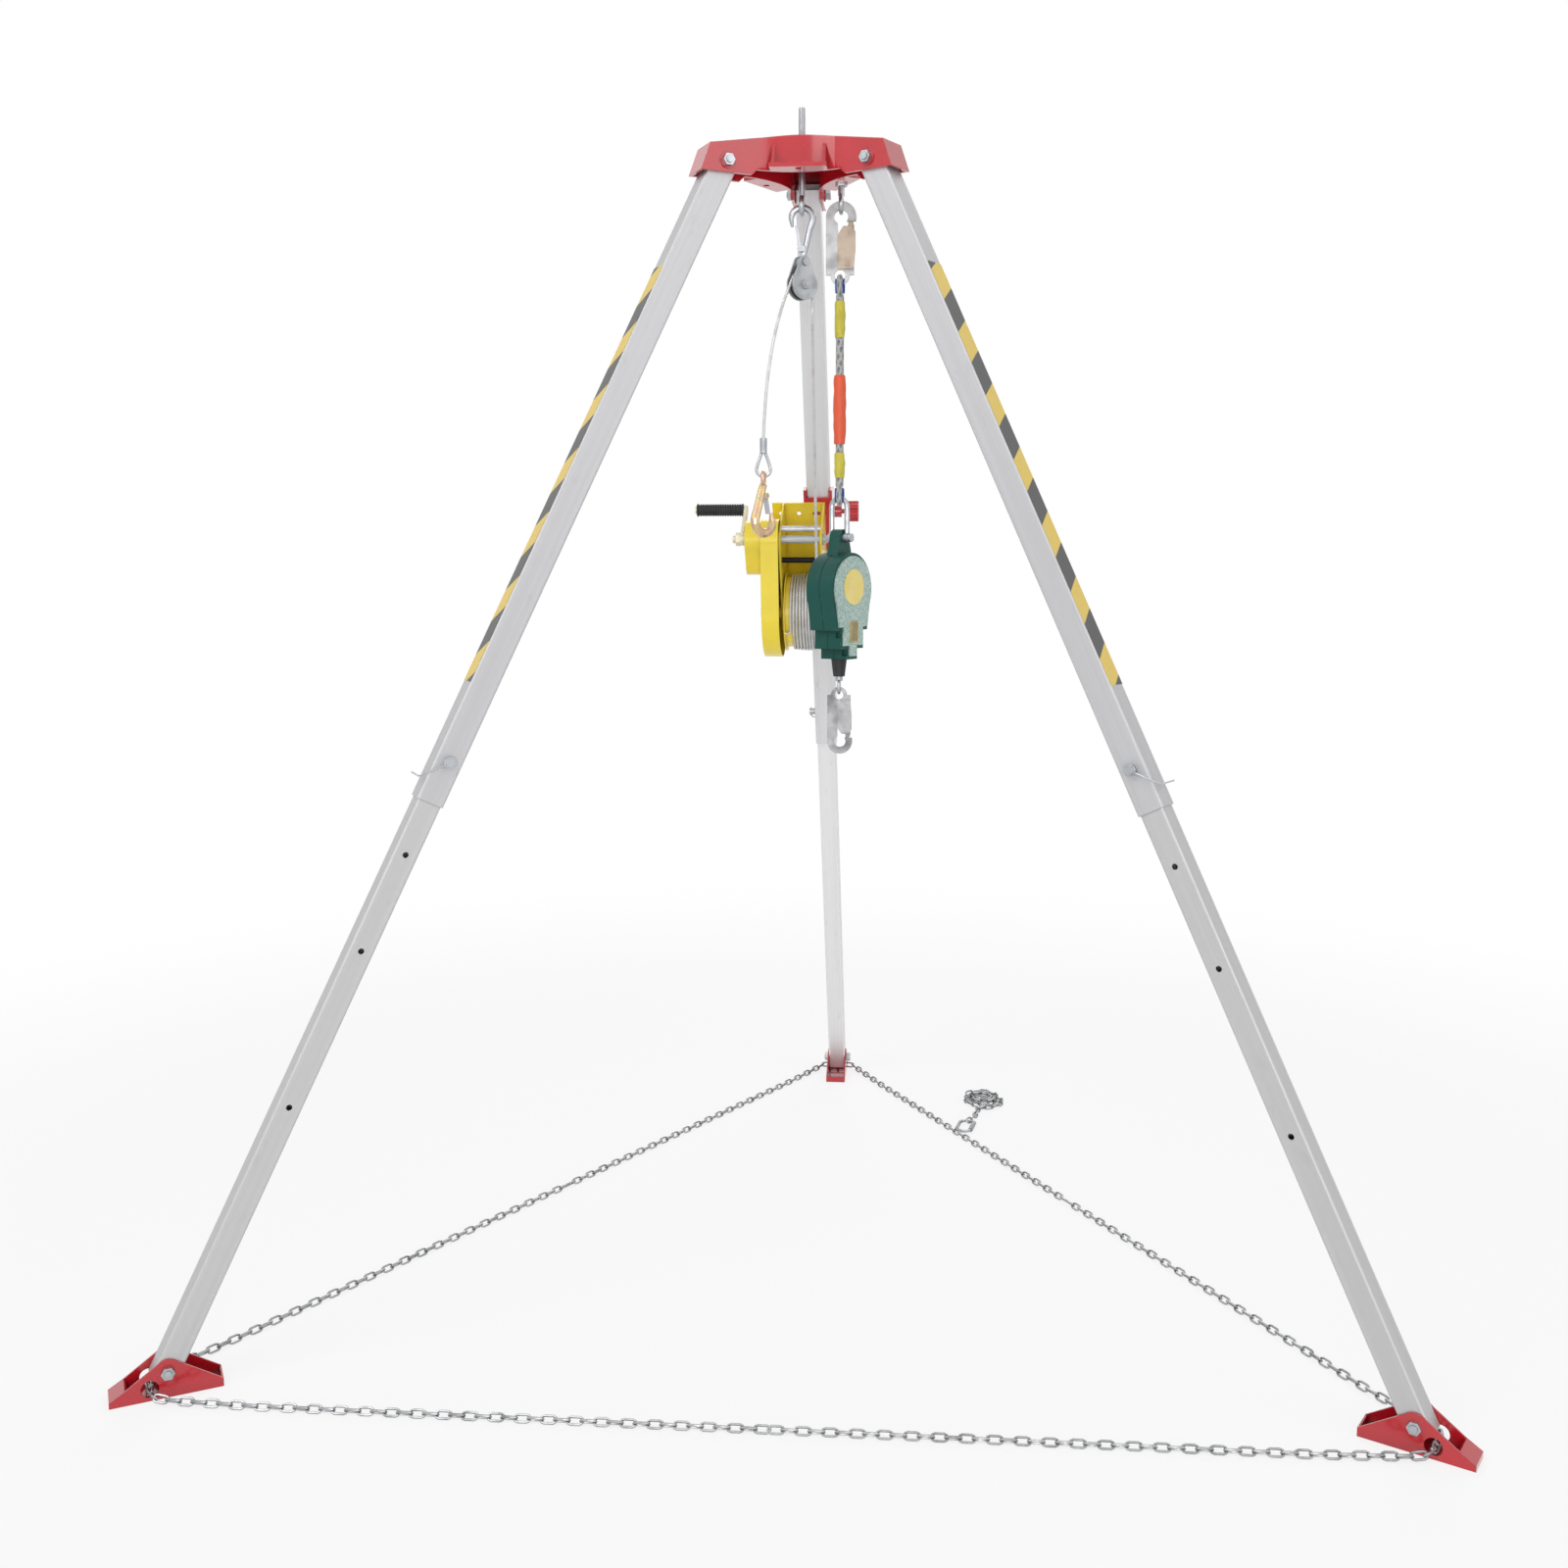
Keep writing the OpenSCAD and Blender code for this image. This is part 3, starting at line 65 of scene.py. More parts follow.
# The stand's own measures, in metres, with the legs' places round the load axis in degrees
stand = {
    "axisY": -0.300917,
    "hingeRadius": 0.159,
    "hingeHeight": 2.060,
    "lean": math.radians(26.3053),
    "legAngle": {"left": 210, "right": 330, "rear": 90},
    "footRadius": 1.1561,
}


def fromAxis(x, y, z):
    return Vector((x, y + stand["axisY"], z))  # a point given from the load axis


def belowHinge(x, y, z):
    return fromAxis(x, y, z + stand["hingeHeight"])


def inMetres(points):
    return [[part / 1000 for part in point] for point in points]


def turnOf(x, y, z):
    # the turn that takes the plain axes to these three
    return Matrix((x, y, z)).transposed().to_4x4()


def legAxes(leg):
    angle = math.radians(stand["legAngle"][leg])
    radial = Vector((math.cos(angle), math.sin(angle), 0))
    tangent = Vector((-math.sin(angle), math.cos(angle), 0))
    out = radial * math.cos(stand["lean"]) + Vector((0, 0, math.sin(stand["lean"])))
    return radial, tangent, out, out.cross(tangent)


def legTurn(leg):
    _, tangent, out, up = legAxes(leg)
    return turnOf(out, tangent, up).to_euler()


def legPoint(leg, along, outward=0.0):
    radial, _, out, up = legAxes(leg)
    hinge = fromAxis(0, 0, stand["hingeHeight"]) + radial * stand["hingeRadius"]
    return hinge - up * along + out * outward


def footPoint(leg, reach, across, height):
    radial, tangent, _, _ = legAxes(leg)
    return fromAxis(0, 0, height) + radial * (stand["footRadius"] + reach) + tangent * across


# Shader sums: a socket that takes part in plain arithmetic
class Wire:
    def __init__(self, finish, socket):
        self.finish = finish
        self.socket = socket

    def sum(self, operation, first, second):
        return self.finish.node("Math", {"operation": operation}, {0: first, 1: second})

    def __add__(self, other):
        return self.sum("ADD", self, other)

    def __rsub__(self, other):
        return self.sum("SUBTRACT", other, self)

    def __mul__(self, other):
        return self.sum("MULTIPLY", self, other)

    def __gt__(self, other):
        return self.sum("GREATER_THAN", self, other)

    def __lt__(self, other):
        return self.sum("LESS_THAN", self, other)

    __radd__ = __add__
    __rmul__ = __mul__


class Finish:
    def __init__(self, name, owner=None):
        self.owner = owner or bpy.data.materials.new(name)
        self.owner.use_nodes = True
        self.tree = self.owner.node_tree
        self.tree.nodes.clear()

    def node(self, kind, settings=None, inputs=None, out=0):
        made = self.tree.nodes.new("ShaderNode" + kind)
        for name, value in (settings or {}).items():
            setattr(made, name, value)
        for name, value in (inputs or {}).items():
            if isinstance(value, Wire):
                self.tree.links.new(value.socket, made.inputs[name])
            else:
                made.inputs[name].default_value = value
        return Wire(self, made.outputs[out]) if made.outputs else None

    def coords(self, turn=(0, 0, 0), size=(1, 1, 1), origin=(0, 0, 0)):
        # places in a piece's own axes, counted in steps of the given size
        place = self.node("TexCoord", out="Object")
        moved = {"Vector": place, "Location": origin, "Rotation": turn, "Scale": size}
        return self.node("Mapping", {"vector_type": "TEXTURE"}, moved)

    def noise(self, scale, detail=3.0, rough=0.55, coords=None):
        place = coords or self.node("TexCoord", out="Object")
        inputs = {"Vector": place, "Scale": scale, "Detail": detail, "Roughness": rough}
        return self.node("TexNoise", {}, inputs)

    def ramp(self, value, low, high):
        # 0 below the low value, 1 above the high one
        steps = {"Value": value, "From Min": low, "From Max": high, "To Min": 0.0, "To Max": 1.0}
        return self.node("MapRange", {"interpolation_type": "SMOOTHSTEP"}, steps)

    def mix(self, share, first, second):
        return self.node("Mix", {"data_type": "RGBA"}, {0: share, 6: first, 7: second}, out=2)

    def rounding(self, radius):
        return self.node("Bevel", {"samples": 4}, {"Radius": radius})

    def edges(self, rounded):
        # 1 on the outside and inside edges, 0 on the flats
        flat = self.node("NewGeometry", out="Normal")
        meet = self.node("VectorMath", {"operation": "DOT_PRODUCT"}, {0: rounded, 1: flat}, out="Value")
        return self.ramp(1 - meet, 0.01, 0.12)

    def paintedCornerShade(self, reach):
        # painted shade mask from ambient occlusion: 1 in gaps and corners that are closer than the reach, 0
        # on open faces
        settings = {"samples": 6, "only_local": True}
        room = self.node("AmbientOcclusion", settings, {"Distance": reach}, out="AO")
        return 1 - self.ramp(room, 0.4, 0.92)

    def bump(self, height, strength, distance, normal=None):
        inputs = {"Height": height, "Strength": strength, "Distance": distance}
        if normal:
            inputs["Normal"] = normal
        return self.node("Bump", {}, inputs)

    def surface(self, colour, rough, metal, normal, **fixed):
        inputs = {"Base Color": colour, "Roughness": rough, "Metallic": metal, "Normal": normal}
        for name, value in fixed.items():
            inputs[name.replace("_", " ")] = value
        self.node("OutputMaterial", {}, {"Surface": self.node("BsdfPrincipled", {}, inputs)})
        return self.owner


def rgb(red, green, blue):
    # a display colour from 0 to 255 as the shader's linear one
    linear = []
    for part in (red, green, blue):
        share = part / 255
        linear.append(share / 12.92 if share < 0.04045 else ((share + 0.055) / 1.055) ** 2.4)
    return (*linear, 1.0)


def darker(colour, share):
    return (colour[0] * share, colour[1] * share, colour[2] * share, 1.0)


def paintFinish(name, colour, worn, rough=0.28, peel=0.08, gloss=0.35, dusty=0.12, shine=0.5):
    # enamel with a faint cloud, dust in specks, scuffed edges and painted shade in its corners
    f = Finish(name)
    rounded = f.rounding(0.0016)
    cloud = f.ramp(f.noise(11, 4), 0.3, 0.72)
    scuff = f.edges(rounded) * f.ramp(f.noise(85, 4), 0.5, 0.66)
    dust = f.ramp(f.noise(260, 2), 0.62, 0.8) * dusty
    coat = f.mix(cloud, darker(colour, 0.9), colour)
    coat = f.mix(dust, coat, rgb(196, 186, 176))
    coat = f.mix(scuff * 0.6, coat, worn)
    # painted shade: corners and gaps darkened to 0.4 of the colour
    coat = f.mix(f.paintedCornerShade(0.012) * 0.5, coat, darker(colour, 0.4))
    skin = f.bump(f.noise(420, 2), peel, 0.0006, rounded)
    return f.surface(coat, rough + 0.12 * cloud + 0.2 * scuff, 0.0, skin, Coat_Weight=gloss,
        Coat_Roughness=0.12, Specular_IOR_Level=shine)


def plateFinish(name, colour, dark, rough=0.3, metal=0.9, spot=140, band=None):
    # plated or galvanised steel: soft spangle, darker in patches, brighter edges, painted shade in its
    # corners
    f = Finish(name)
    rounded = f.rounding(0.0008)
    spots = {"Vector": f.coords(), "Scale": spot}
    spangle = f.node("TexVoronoi", {"feature": "F1"}, spots, out="Color")
    grey = f.node("RGBToBW", {}, {0: spangle})
    stain = f.ramp(f.noise(26, 5), 0.44, 0.74)
    skin = f.mix(stain * 0.6, colour, dark)
    skin = f.mix(grey * 0.3, skin, darker(colour, 0.8))
    skin = f.mix(f.edges(rounded) * 0.22, skin, rgb(232, 232, 230))
    # painted shade: corners and gaps darkened towards the dark tone
    skin = f.mix(f.paintedCornerShade(0.006) * 0.75, skin, darker(dark, 0.35))
    if band:
        axis, start, end, other = band  # a stretch of the piece in another colour
        place = f.node("SeparateXYZ", {}, {0: f.coords()}, out=axis)
        skin = f.mix((place > start) * (place < end), skin, other)
    relief = f.bump(f.noise(480, 3), 0.06, 0.0004, rounded)
    return f.surface(skin, rough + 0.18 * stain + 0.08 * grey, metal, relief)


def passivateFinish(name, gold, pink, green):
    # chromated steel with a drifting rainbow tint and painted shade in its corners
    f = Finish(name)
    drift = f.ramp(f.noise(70, 3), 0.42, 0.6)
    tint = f.ramp(f.noise(48, 2, 0.5, f.coords((0.4, 0.9, 0.2))), 0.5, 0.66)
    skin = f.mix(drift * 0.8, gold, pink)
    skin = f.mix(tint * 0.6, skin, green)
    # painted shade: corners and gaps darkened towards a dark gold
    skin = f.mix(f.paintedCornerShade(0.006) * 0.7, skin, darker(gold, 0.3))
    relief = f.bump(f.noise(480, 3), 0.06, 0.0004, f.rounding(0.0008))
    return f.surface(skin, 0.24 + 0.12 * drift, 0.85, relief)


def tubeFinish(name, leg, colour):
    # anodised extrusion: fine lines along the tube and faint handling marks
    f = Finish(name)
    turn = legTurn(leg)
    hinge = legPoint(leg, 0)
    rounded = f.rounding(0.002)
    lines = f.noise(1.0, 3, 0.6, f.coords(turn, (0.0011, 0.0011, 0.45), hinge))
    bands = f.noise(1.0, 2, 0.5, f.coords(turn, (0.012, 0.012, 0.9), hinge))
    marks = f.ramp(f.noise(1.0, 5, 0.6, f.coords(turn, (0.02, 0.02, 0.05), hinge)), 0.58, 0.76)
    skin = f.mix(f.ramp(lines, 0.3, 0.7), darker(colour, 0.93), colour)
    skin = f.mix(f.ramp(bands, 0.4, 0.65) * 0.4, skin, darker(colour, 1.06))
    skin = f.mix(marks * 0.16, skin, rgb(150, 150, 152))
    relief = f.bump(lines, 0.1, 0.0003, rounded)
    return f.surface(skin, 0.42 + 0.1 * bands + 0.08 * marks, 0.4, relief)


def rubberFinish(name, colour, rough=0.55, dusty=rgb(70, 70, 72)):
    # rubber, plastic or paper with a dull haze
    f = Finish(name)
    rounded = f.rounding(0.001)
    haze = f.ramp(f.noise(40, 4), 0.4, 0.75)
    skin = f.mix(haze * 0.35, colour, dusty)
    relief = f.bump(f.noise(900, 2), 0.12, 0.0003, rounded)
    return f.surface(skin, rough + 0.15 * haze, 0.0, relief)


def ropeFinish(name, colour, dark):
    # the strands are in the mesh, the wires in the relief
    f = Finish(name)
    wires = f.noise(1500, 2)
    grime = f.ramp(f.noise(38, 4), 0.42, 0.7)
    skin = f.mix(grime * 0.5, colour, dark)
    skin = f.mix(f.ramp(wires, 0.35, 0.6), darker(colour, 0.62), skin)
    return f.surface(skin, 0.42 + 0.16 * grime, 0.65, f.bump(wires, 0.3, 0.0003))


def braidFinish(name, colour, dark, tracer):
    # the mesh says where its valleys and its tracer strand lie; the valleys get painted shade
    f = Finish(name)
    yarn = f.noise(950, 3)
    strand = f.node("Attribute", {"attribute_name": "strand"}, out="Fac")
    valleyShade = f.node("Attribute", {"attribute_name": "valleyShade"}, out="Fac")
    skin = f.mix(f.ramp(yarn, 0.35, 0.62), dark, colour)
    # painted shade: darker in the valleys between the strands
    skin = f.mix(f.ramp(valleyShade, 0.2, 0.55) * 0.7, skin, darker(dark, 0.6))
    skin = f.mix(f.ramp(strand, 0.55, 0.75), skin, tracer)
    return f.surface(skin, 0.85, 0.0, f.bump(yarn, 0.35, 0.0004), Sheen_Weight=0.25)


def sleeveFinish(name, orangeLow, orangeHigh):
    # shrink tube: yellow, and orange in the middle
    f = Finish(name)
    height = f.node("SeparateXYZ", {}, {0: f.coords()}, out="Z")
    middle = (height > orangeLow) * (height < orangeHigh)
    crease = f.noise(1.0, 3, 0.6, f.coords((0, 0, 0), (0.006, 0.006, 0.03)))
    tone = f.mix(middle, rgb(206, 196, 62), rgb(231, 84, 52))
    skin = f.mix(f.ramp(crease, 0.35, 0.7) * 0.3, tone, rgb(150, 120, 60))
    relief = f.bump(crease, 0.4, 0.0012, f.rounding(0.0012))
    return f.surface(skin, 0.34 + 0.2 * crease, 0.0, relief)


def hammerFinish(name, colour, dark):
    # hammered enamel: shallow round dimples
    f = Finish(name)
    spots = {"Vector": f.coords(), "Scale": 330, "Smoothness": 0.6}
    dimple = f.node("TexVoronoi", {"feature": "SMOOTH_F1"}, spots)
    skin = f.mix(f.ramp(dimple, 0.15, 0.6), colour, dark)
    skin = f.mix(f.ramp(f.noise(24, 4), 0.5, 0.75) * 0.25, skin, darker(colour, 0.8))
    relief = f.bump(dimple, 0.45, 0.0008, f.rounding(0.0012))
    return f.surface(skin, 0.3 + 0.15 * dimple, 0.25, relief)


def tapeFinish(name, leg, tape):
    # slanted yellow and black bands, rubbed in places
    f = Finish(name)
    place = f.coords(legTurn(leg), (1, 1, 1), legPoint(leg, 0))
    across = f.node("SeparateXYZ", {}, {0: place}, out="Y")
    along = f.node("SeparateXYZ", {}, {0: place}, out="Z")
    stripe = (tape["start"] - along + across * tape["slope"]) * (1 / tape["period"])
    stripe = f.node("Math", {"operation": "FRACT"}, {0: stripe})
    rub = f.ramp(f.noise(60, 5), 0.6, 0.78)
    band = f.ramp(stripe, tape["yellowShare"] - tape["blur"], tape["yellowShare"] + tape["blur"])
    skin = f.mix(band, rgb(238, 206, 92), rgb(66, 66, 66))
    skin = f.mix(rub * 0.25, skin, rgb(172, 164, 140))
    return f.surface(skin, 0.4 + 0.2 * rub, 0.0, f.bump(f.noise(300, 2), 0.08, 0.0004))


zincGrey = rgb(186, 189, 193)
blackRod = ("Z", 1.356, 1.376, rgb(30, 29, 30))
crankShaft = ("X", -0.149, 0.2, zincGrey)
finishes = {
    "red": paintFinish("redEnamel", rgb(196, 26, 40), rgb(224, 150, 140), rough=0.17, peel=0.04, gloss=0.7,
        dusty=0.04),
    "redMoulded": paintFinish("redMoulding", rgb(190, 24, 38), rgb(214, 90, 92), rough=0.4, peel=0.15),
    "yellow": paintFinish("yellowEnamel", rgb(248, 222, 52), rgb(220, 206, 164), rough=0.3),
    "green": paintFinish("greenEnamel", rgb(10, 76, 68), rgb(96, 140, 132), rough=0.4, peel=0.2, gloss=0.05,
        dusty=0.04, shine=0.3),
    "zinc": plateFinish("zincPlate", zincGrey, rgb(124, 127, 130)),
    "rods": plateFinish("frameRods", rgb(194, 196, 199), rgb(138, 140, 143), band=blackRod),
    "chain": plateFinish("chainZinc", rgb(168, 169, 171), rgb(92, 94, 97), metal=0.92, spot=260),
    "gold": passivateFinish("goldPassivate", rgb(214, 188, 136), rgb(208, 164, 154), rgb(186, 190, 142)),
    "silver": plateFinish("flatSilver", rgb(182, 182, 183), rgb(128, 128, 129), rough=0.36, metal=0.85),
    "cream": plateFinish("creamZinc", rgb(228, 220, 192), rgb(196, 184, 150), rough=0.4, metal=0.45,
        band=crankShaft),
    "steel": plateFinish("drawnSteel", rgb(140, 140, 142), rgb(92, 92, 94), rough=0.34, metal=0.8),
    "tan": plateFinish("tanGate", rgb(178, 162, 146), rgb(142, 126, 114), rough=0.38, metal=0.7),
    "gear": plateFinish("oiledGear", rgb(118, 118, 120), rgb(74, 72, 70), rough=0.42),
    "brass": plateFinish("brassPlate", rgb(184, 170, 122), rgb(98, 90, 60), rough=0.34),
    "black": rubberFinish("blackRubber", rgb(26, 26, 27)),
    "blue": rubberFinish("blueThimble", rgb(36, 112, 204), rough=0.35, dusty=rgb(64, 118, 190)),
    "label": rubberFinish("labelYellow", rgb(248, 228, 140), rough=0.42, dusty=rgb(234, 206, 108)),
    "rope": ropeFinish("wireRope", rgb(224, 224, 223), rgb(176, 176, 173)),
    "braid": braidFinish("lanyardBraid", rgb(206, 206, 204), rgb(128, 128, 126), rgb(92, 104, 128)),
    "sleeve": sleeveFinish("shrinkSleeve", orangeLow=1.575, orangeHigh=1.712),
    "hammer": hammerFinish("paleHammer", rgb(210, 222, 217), rgb(148, 178, 169)),
}
# painted light: the rear leg's tubes get lighter greys than the front legs' to stand in for the light on its
# face; all three legs are the same tube
tubeGreysPaintedLit = {"left": (196, 197), "right": (196, 197), "rear": (224, 238)}  # outer and inner grey of each leg
for leg, (outerGrey, innerGrey) in tubeGreysPaintedLit.items():
    finishes["outer" + leg] = tubeFinish("outerTube." + leg, leg, rgb(outerGrey, outerGrey, outerGrey + 2))
    finishes["inner" + leg] = tubeFinish("innerTube." + leg, leg, rgb(innerGrey, innerGrey, innerGrey + 1))
print("finishes made,", len(finishes))

# The finish of each CAD node; the rest are zinc
finishOf = {
    "head_casting": "red", "winch_clamp": "red", "clamp_knob": "redMoulded",
    "winch_frame": "yellow", "gear_cover": "yellow", "drum": "yellow", "idler_gear": "gear", "sheave": "gear",
    "frame_rods": "rods", "cable_bumper": "black", "arrester_housing": "green", "arrester_cover": "hammer",
    "load_hook": "gold", "anchor_hook": "silver", "snap_hook": "steel", "anchor_gate": "tan",
    "snap_gate": "steel", "crank": "cream", "carabiner": "chain",
}
for leg in legNames:
    finishOf["foot_" + leg] = "red"
    finishOf["outer_tube_" + leg] = "outer" + leg
    finishOf["inner_tube_" + leg] = "inner" + leg
for name, node in cadNodes.items():
    finish = finishes[finishOf.get(name, "zinc")]
    node.data.materials.clear()
    node.data.materials.append(finish)

sharpAngle = math.radians(38)


def addPiece(name, bm, finish, body, replaced=()):
    bmesh.ops.recalc_face_normals(bm, faces=bm.faces)
    mesh = bpy.data.meshes.new(name)
    bm.to_mesh(mesh)
    bm.free()
    mesh.materials.append(finishes[finish])
    mesh.shade_smooth()
    mesh.set_sharp_from_angle(angle=sharpAngle)
    piece = bpy.data.objects.new(name, mesh)
    bpy.context.collection.objects.link(piece)
    if body:
        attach(piece, body)
    if replaced:
        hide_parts(*replaced)
    return piece


def smoothRoute(points, step):
    # a soft curve through the points, with a point at each step of its length
    parts = 24
    dense = []
    last = len(points) - 1
    for place in range(last):
        before = points[max(place - 1, 0)]
        start = points[place]
        end = points[place + 1]
        after = points[min(place + 2, last)]
        for part in range(parts):
            t = part / parts
            square = (2 * before - 5 * start + 4 * end - after) * t * t
            cube = (3 * start - before - 3 * end + after) * t ** 3
            dense.append(0.5 * (2 * start + (end - before) * t + square + cube))
    dense.append(points[last])
    return evenRoute(dense, step)


def evenRoute(points, step):
    lengths = [0.0]
    for place in range(1, len(points)):
        lengths.append(lengths[-1] + (points[place] - points[place - 1]).length)
    count = max(1, round(lengths[-1] / step))
    even = []
    place = 0
    for part in range(count + 1):
        wanted = lengths[-1] * part / count
        while place < len(points) - 2 and lengths[place + 1] < wanted:
            place += 1
        share = (wanted - lengths[place]) / max(lengths[place + 1] - lengths[place], 1e-9)
        even.append(points[place].lerp(points[place + 1], min(share, 1.0)))
    return even


def routeLength(points):
    return sum((points[place] - points[place - 1]).length for place in range(1, len(points)))


def routeFrames(points, side=None):
    # a place and turn at each point, with its Z along the route
    frames = []
    across = side
    for place, point in enumerate(points):
        ahead = points[min(place + 1, len(points) - 1)]
        behind = points[max(place - 1, 0)]
        along = (ahead - behind).normalized()
        across = along.orthogonal() if across is None else across - along * across.dot(along)
        across = across.normalized()
        frames.append(Matrix.Translation(point) @ turnOf(across, along.cross(across), along))
    return frames


def vertsIn(geometry):
    return [item for item in geometry if isinstance(item, bmesh.types.BMVert)]


def closeHoles(bm):
    bmesh.ops.holes_fill(bm, edges=[edge for edge in bm.edges if edge.is_boundary], sides=0)


def sweepRing(bm, frames, ring, edges, twist=0.0, closed=False):
    # carries a ring of vertices along the frames, turning it a little at each step
    bmesh.ops.transform(bm, matrix=frames[0], verts=ring)
    firstEdges = list(edges)
    turn = Matrix.Rotation(twist, 4, "Z")
    rings = [list(ring)]
    for place in range(1, len(frames)):
        grown = bmesh.ops.extrude_edge_only(bm, edges=edges)["geom"]
        ring = vertsIn(grown)
        isNew = set(ring)
        made = [item for item in grown if isinstance(item, bmesh.types.BMEdge)]
        edges = [edge for edge in made if isNew.issuperset(edge.verts)]
        move = frames[place] @ turn @ frames[place - 1].inverted()
        bmesh.ops.transform(bm, matrix=move, verts=ring)
        rings.append(ring)
    if closed:
        bmesh.ops.bridge_loops(bm, edges=firstEdges + edges)
    else:
        bmesh.ops.holes_fill(bm, edges=firstEdges + edges, sides=0)
    return rings


def circleRing(bm, segments, radius, dip=0.0):
    # a ring of vertices, where each second one may lie a little deeper for the gap between strands
    ring = bmesh.ops.create_circle(bm, segments=segments, radius=radius)["verts"]
    for vert in ring[1::2]:
        vert.co *= 1 - dip
    return ring, list({edge for vert in ring for edge in vert.link_edges})


# Winch rope, from the drum over the sheave to the load hook; the falls are in millimetres
rope = {"radius": 0.003, "strands": 6, "dip": 0.17, "layLength": 0.04, "step": 0.004}
drum = {"y": 0.41698, "z": -0.80392, "windRadius": 0.078, "windX": 0.004, "windStep": 0.0064, "loops": 9,
    "bulge": 0.0022, "slant": 0.0021, "stagger": 0.18,
    "tail": ((0.004, -0.0015), (0.0065, -0.005), (0.0065, -0.011))}
loadFall = [(-66, -55, -477), (-63, -53, -420), (-58, -49, -365), (-50, -42, -310), (-40, -33, -262),
    (-29, -24, -223)]
winchFall = [(18, 15, -216), (18, 17, -240), (17, 24, -265)]
sheave = {"height": -0.197, "radius": 0.023, "turn": math.radians(40), "wrap": math.radians(155), "parts": 8}


def onWinding(angle, x, rise=0.0):
    reach = drum["windRadius"] + rise
    return belowHinge(x, drum["y"] + reach * math.cos(angle), drum["z"] + reach * math.sin(angle))


def ropeMesh(route, radius, dip):
    bm = bmesh.new()
    ring, edges = circleRing(bm, 2 * rope["strands"], radius, dip)
    twist = math.tau * rope["step"] / rope["layLength"]
    sweepRing(bm, routeFrames(route), ring, edges, twist)
    return bm


down = [belowHinge(*point) for point in inMetres(winchFall)]
fall = [belowHinge(*point) for point in inMetres(loadFall)]
fallEnd = down[-1]
axle = belowHinge(0, drum["y"], drum["z"])
gapY = fallEnd.y - axle.y
gapZ = fallEnd.z - axle.z
windAngle = math.atan2(gapZ, gapY) + math.acos(drum["windRadius"] / math.hypot(gapY, gapZ))
windStart = onWinding(windAngle, drum["windX"])
windLead = windStart - 2 * rope["radius"] * (windStart - fallEnd).normalized()
overSheave = []
for part in range(sheave["parts"] + 1):
    angle = sheave["wrap"] * part / sheave["parts"]
    flat = sheave["radius"] * math.cos(angle)
    height = sheave["height"] + sheave["radius"] * math.sin(angle)
    overSheave.append(belowHinge(flat * math.cos(sheave["turn"]), flat * math.sin(sheave["turn"]), height))
lead = [windLead.lerp(fallEnd, share) for share in (0, 0.25, 0.5, 0.75)]
ropeRoute = smoothRoute(lead + down[::-1] + overSheave + fall[::-1], rope["step"])
bm = ropeMesh(ropeRoute, rope["radius"], rope["dip"])
winchRope = addPiece("winchRope", bm, "rope", None, ["winch_rope"])
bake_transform(winchRope, "head", "rear_leg", start=(0, fallEnd.y, fallEnd.z), end=(0, windLead.y, fallEnd.z))
routeLength(ropeRoute)
print("winch rope made,", round(routeLength(ropeRoute), 3), "m")

# The rope wound on the drum, with its tail turned aside
windParts = drum["loops"] * turnParts
wound = [windLead]
for part in range(windParts + 1):
    turned = math.tau * part / turnParts
    middle = math.sin(math.pi * part / windParts) ** 2  # 1 in the middle of the winding, 0 at its ends
    slanted = drum["slant"] * middle * math.sin(turned * (1 + drum["stagger"] / math.tau))
    x = drum["windX"] - drum["windStep"] * part / turnParts + slanted
    wound.append(onWinding(windAngle + turned, x, drum["bulge"] * middle))
lastAngle = windAngle + math.tau * drum["loops"]
tangent = Vector((0, -math.sin(lastAngle), math.cos(lastAngle)))
tail = wound[-1]
wound += [tail + tangent * ahead + Vector((aside, 0, 0)) for ahead, aside in drum["tail"]]
bm = ropeMesh(evenRoute(wound, rope["step"]), rope["radius"], rope["dip"])
addPiece("drumRope", bm, "rope", "drum", ["drum_rope"])
print("drum winding made")

# Base chain: real links in six lengths, each from its foot to the middle of a side
chain = {"wire": 0.0021, "insideLength": 0.0213, "width": 0.0155, "bends": 5, "sides": 6,
    "roll": math.radians(45), "curveStep": 0.004}
# reach out of the foot's middle, distance across and height, in millimetres
chainHalf = [(28, 0, 12.5), (28, 20, 12.5), (27, 32, 12.5), (20, 42, 12.5), (-2, 56, 10),
    (-2 - 121.24, 56 + 70, 6.6), (-843.3, 541.7, 6.6)]


def linkMesh():
    # one link lies along X, flat in XY
    bm = bmesh.new()
    bend = chain["width"] / 2 - chain["wire"]
    reach = chain["insideLength"] / 2 + chain["wire"] - bend
    middle = []
    for side in (1, -1):
        for part in range(chain["bends"]):
            angle = math.pi * (part / (chain["bends"] - 1) - 0.5)
            middle.append(Vector((side * (reach + bend * math.cos(angle)), side * bend * math.sin(angle), 0)))
    frames = []
    for place, point in enumerate(middle):
        along = (middle[(place + 1) % len(middle)] - middle[place - 1]).normalized()
        frames.append(Matrix.Translation(point) @ turnOf(upward, along.cross(upward), along))
    ring, edges = circleRing(bm, chain["sides"], chain["wire"])
    sweepRing(bm, frames, ring, edges, closed=True)
    bmesh.ops.recalc_face_normals(bm, faces=bm.faces)
    mesh = bpy.data.meshes.new("chainLink")
    bm.to_mesh(mesh)
    bm.free()
    return mesh


def layLinks(bm, link, route, firstRoll):
    # a link in the middle of each step, rolled to one side and then the other
    roll = firstRoll
    for place in range(len(route) - 1):
        along = (route[place + 1] - route[place]).normalized()
        across = upward.cross(along).normalized()
        turn = turnOf(along, across, along.cross(across))
        middle = (route[place] + route[place + 1]) / 2
        known = len(bm.verts)
        bm.from_mesh(link)
        bm.verts.ensure_lookup_table()
        move = Matrix.Translation(middle) @ turn @ Matrix.Rotation(roll, 4, "X")
        bmesh.ops.transform(bm, matrix=move, verts=bm.verts[known:])
        roll = -roll


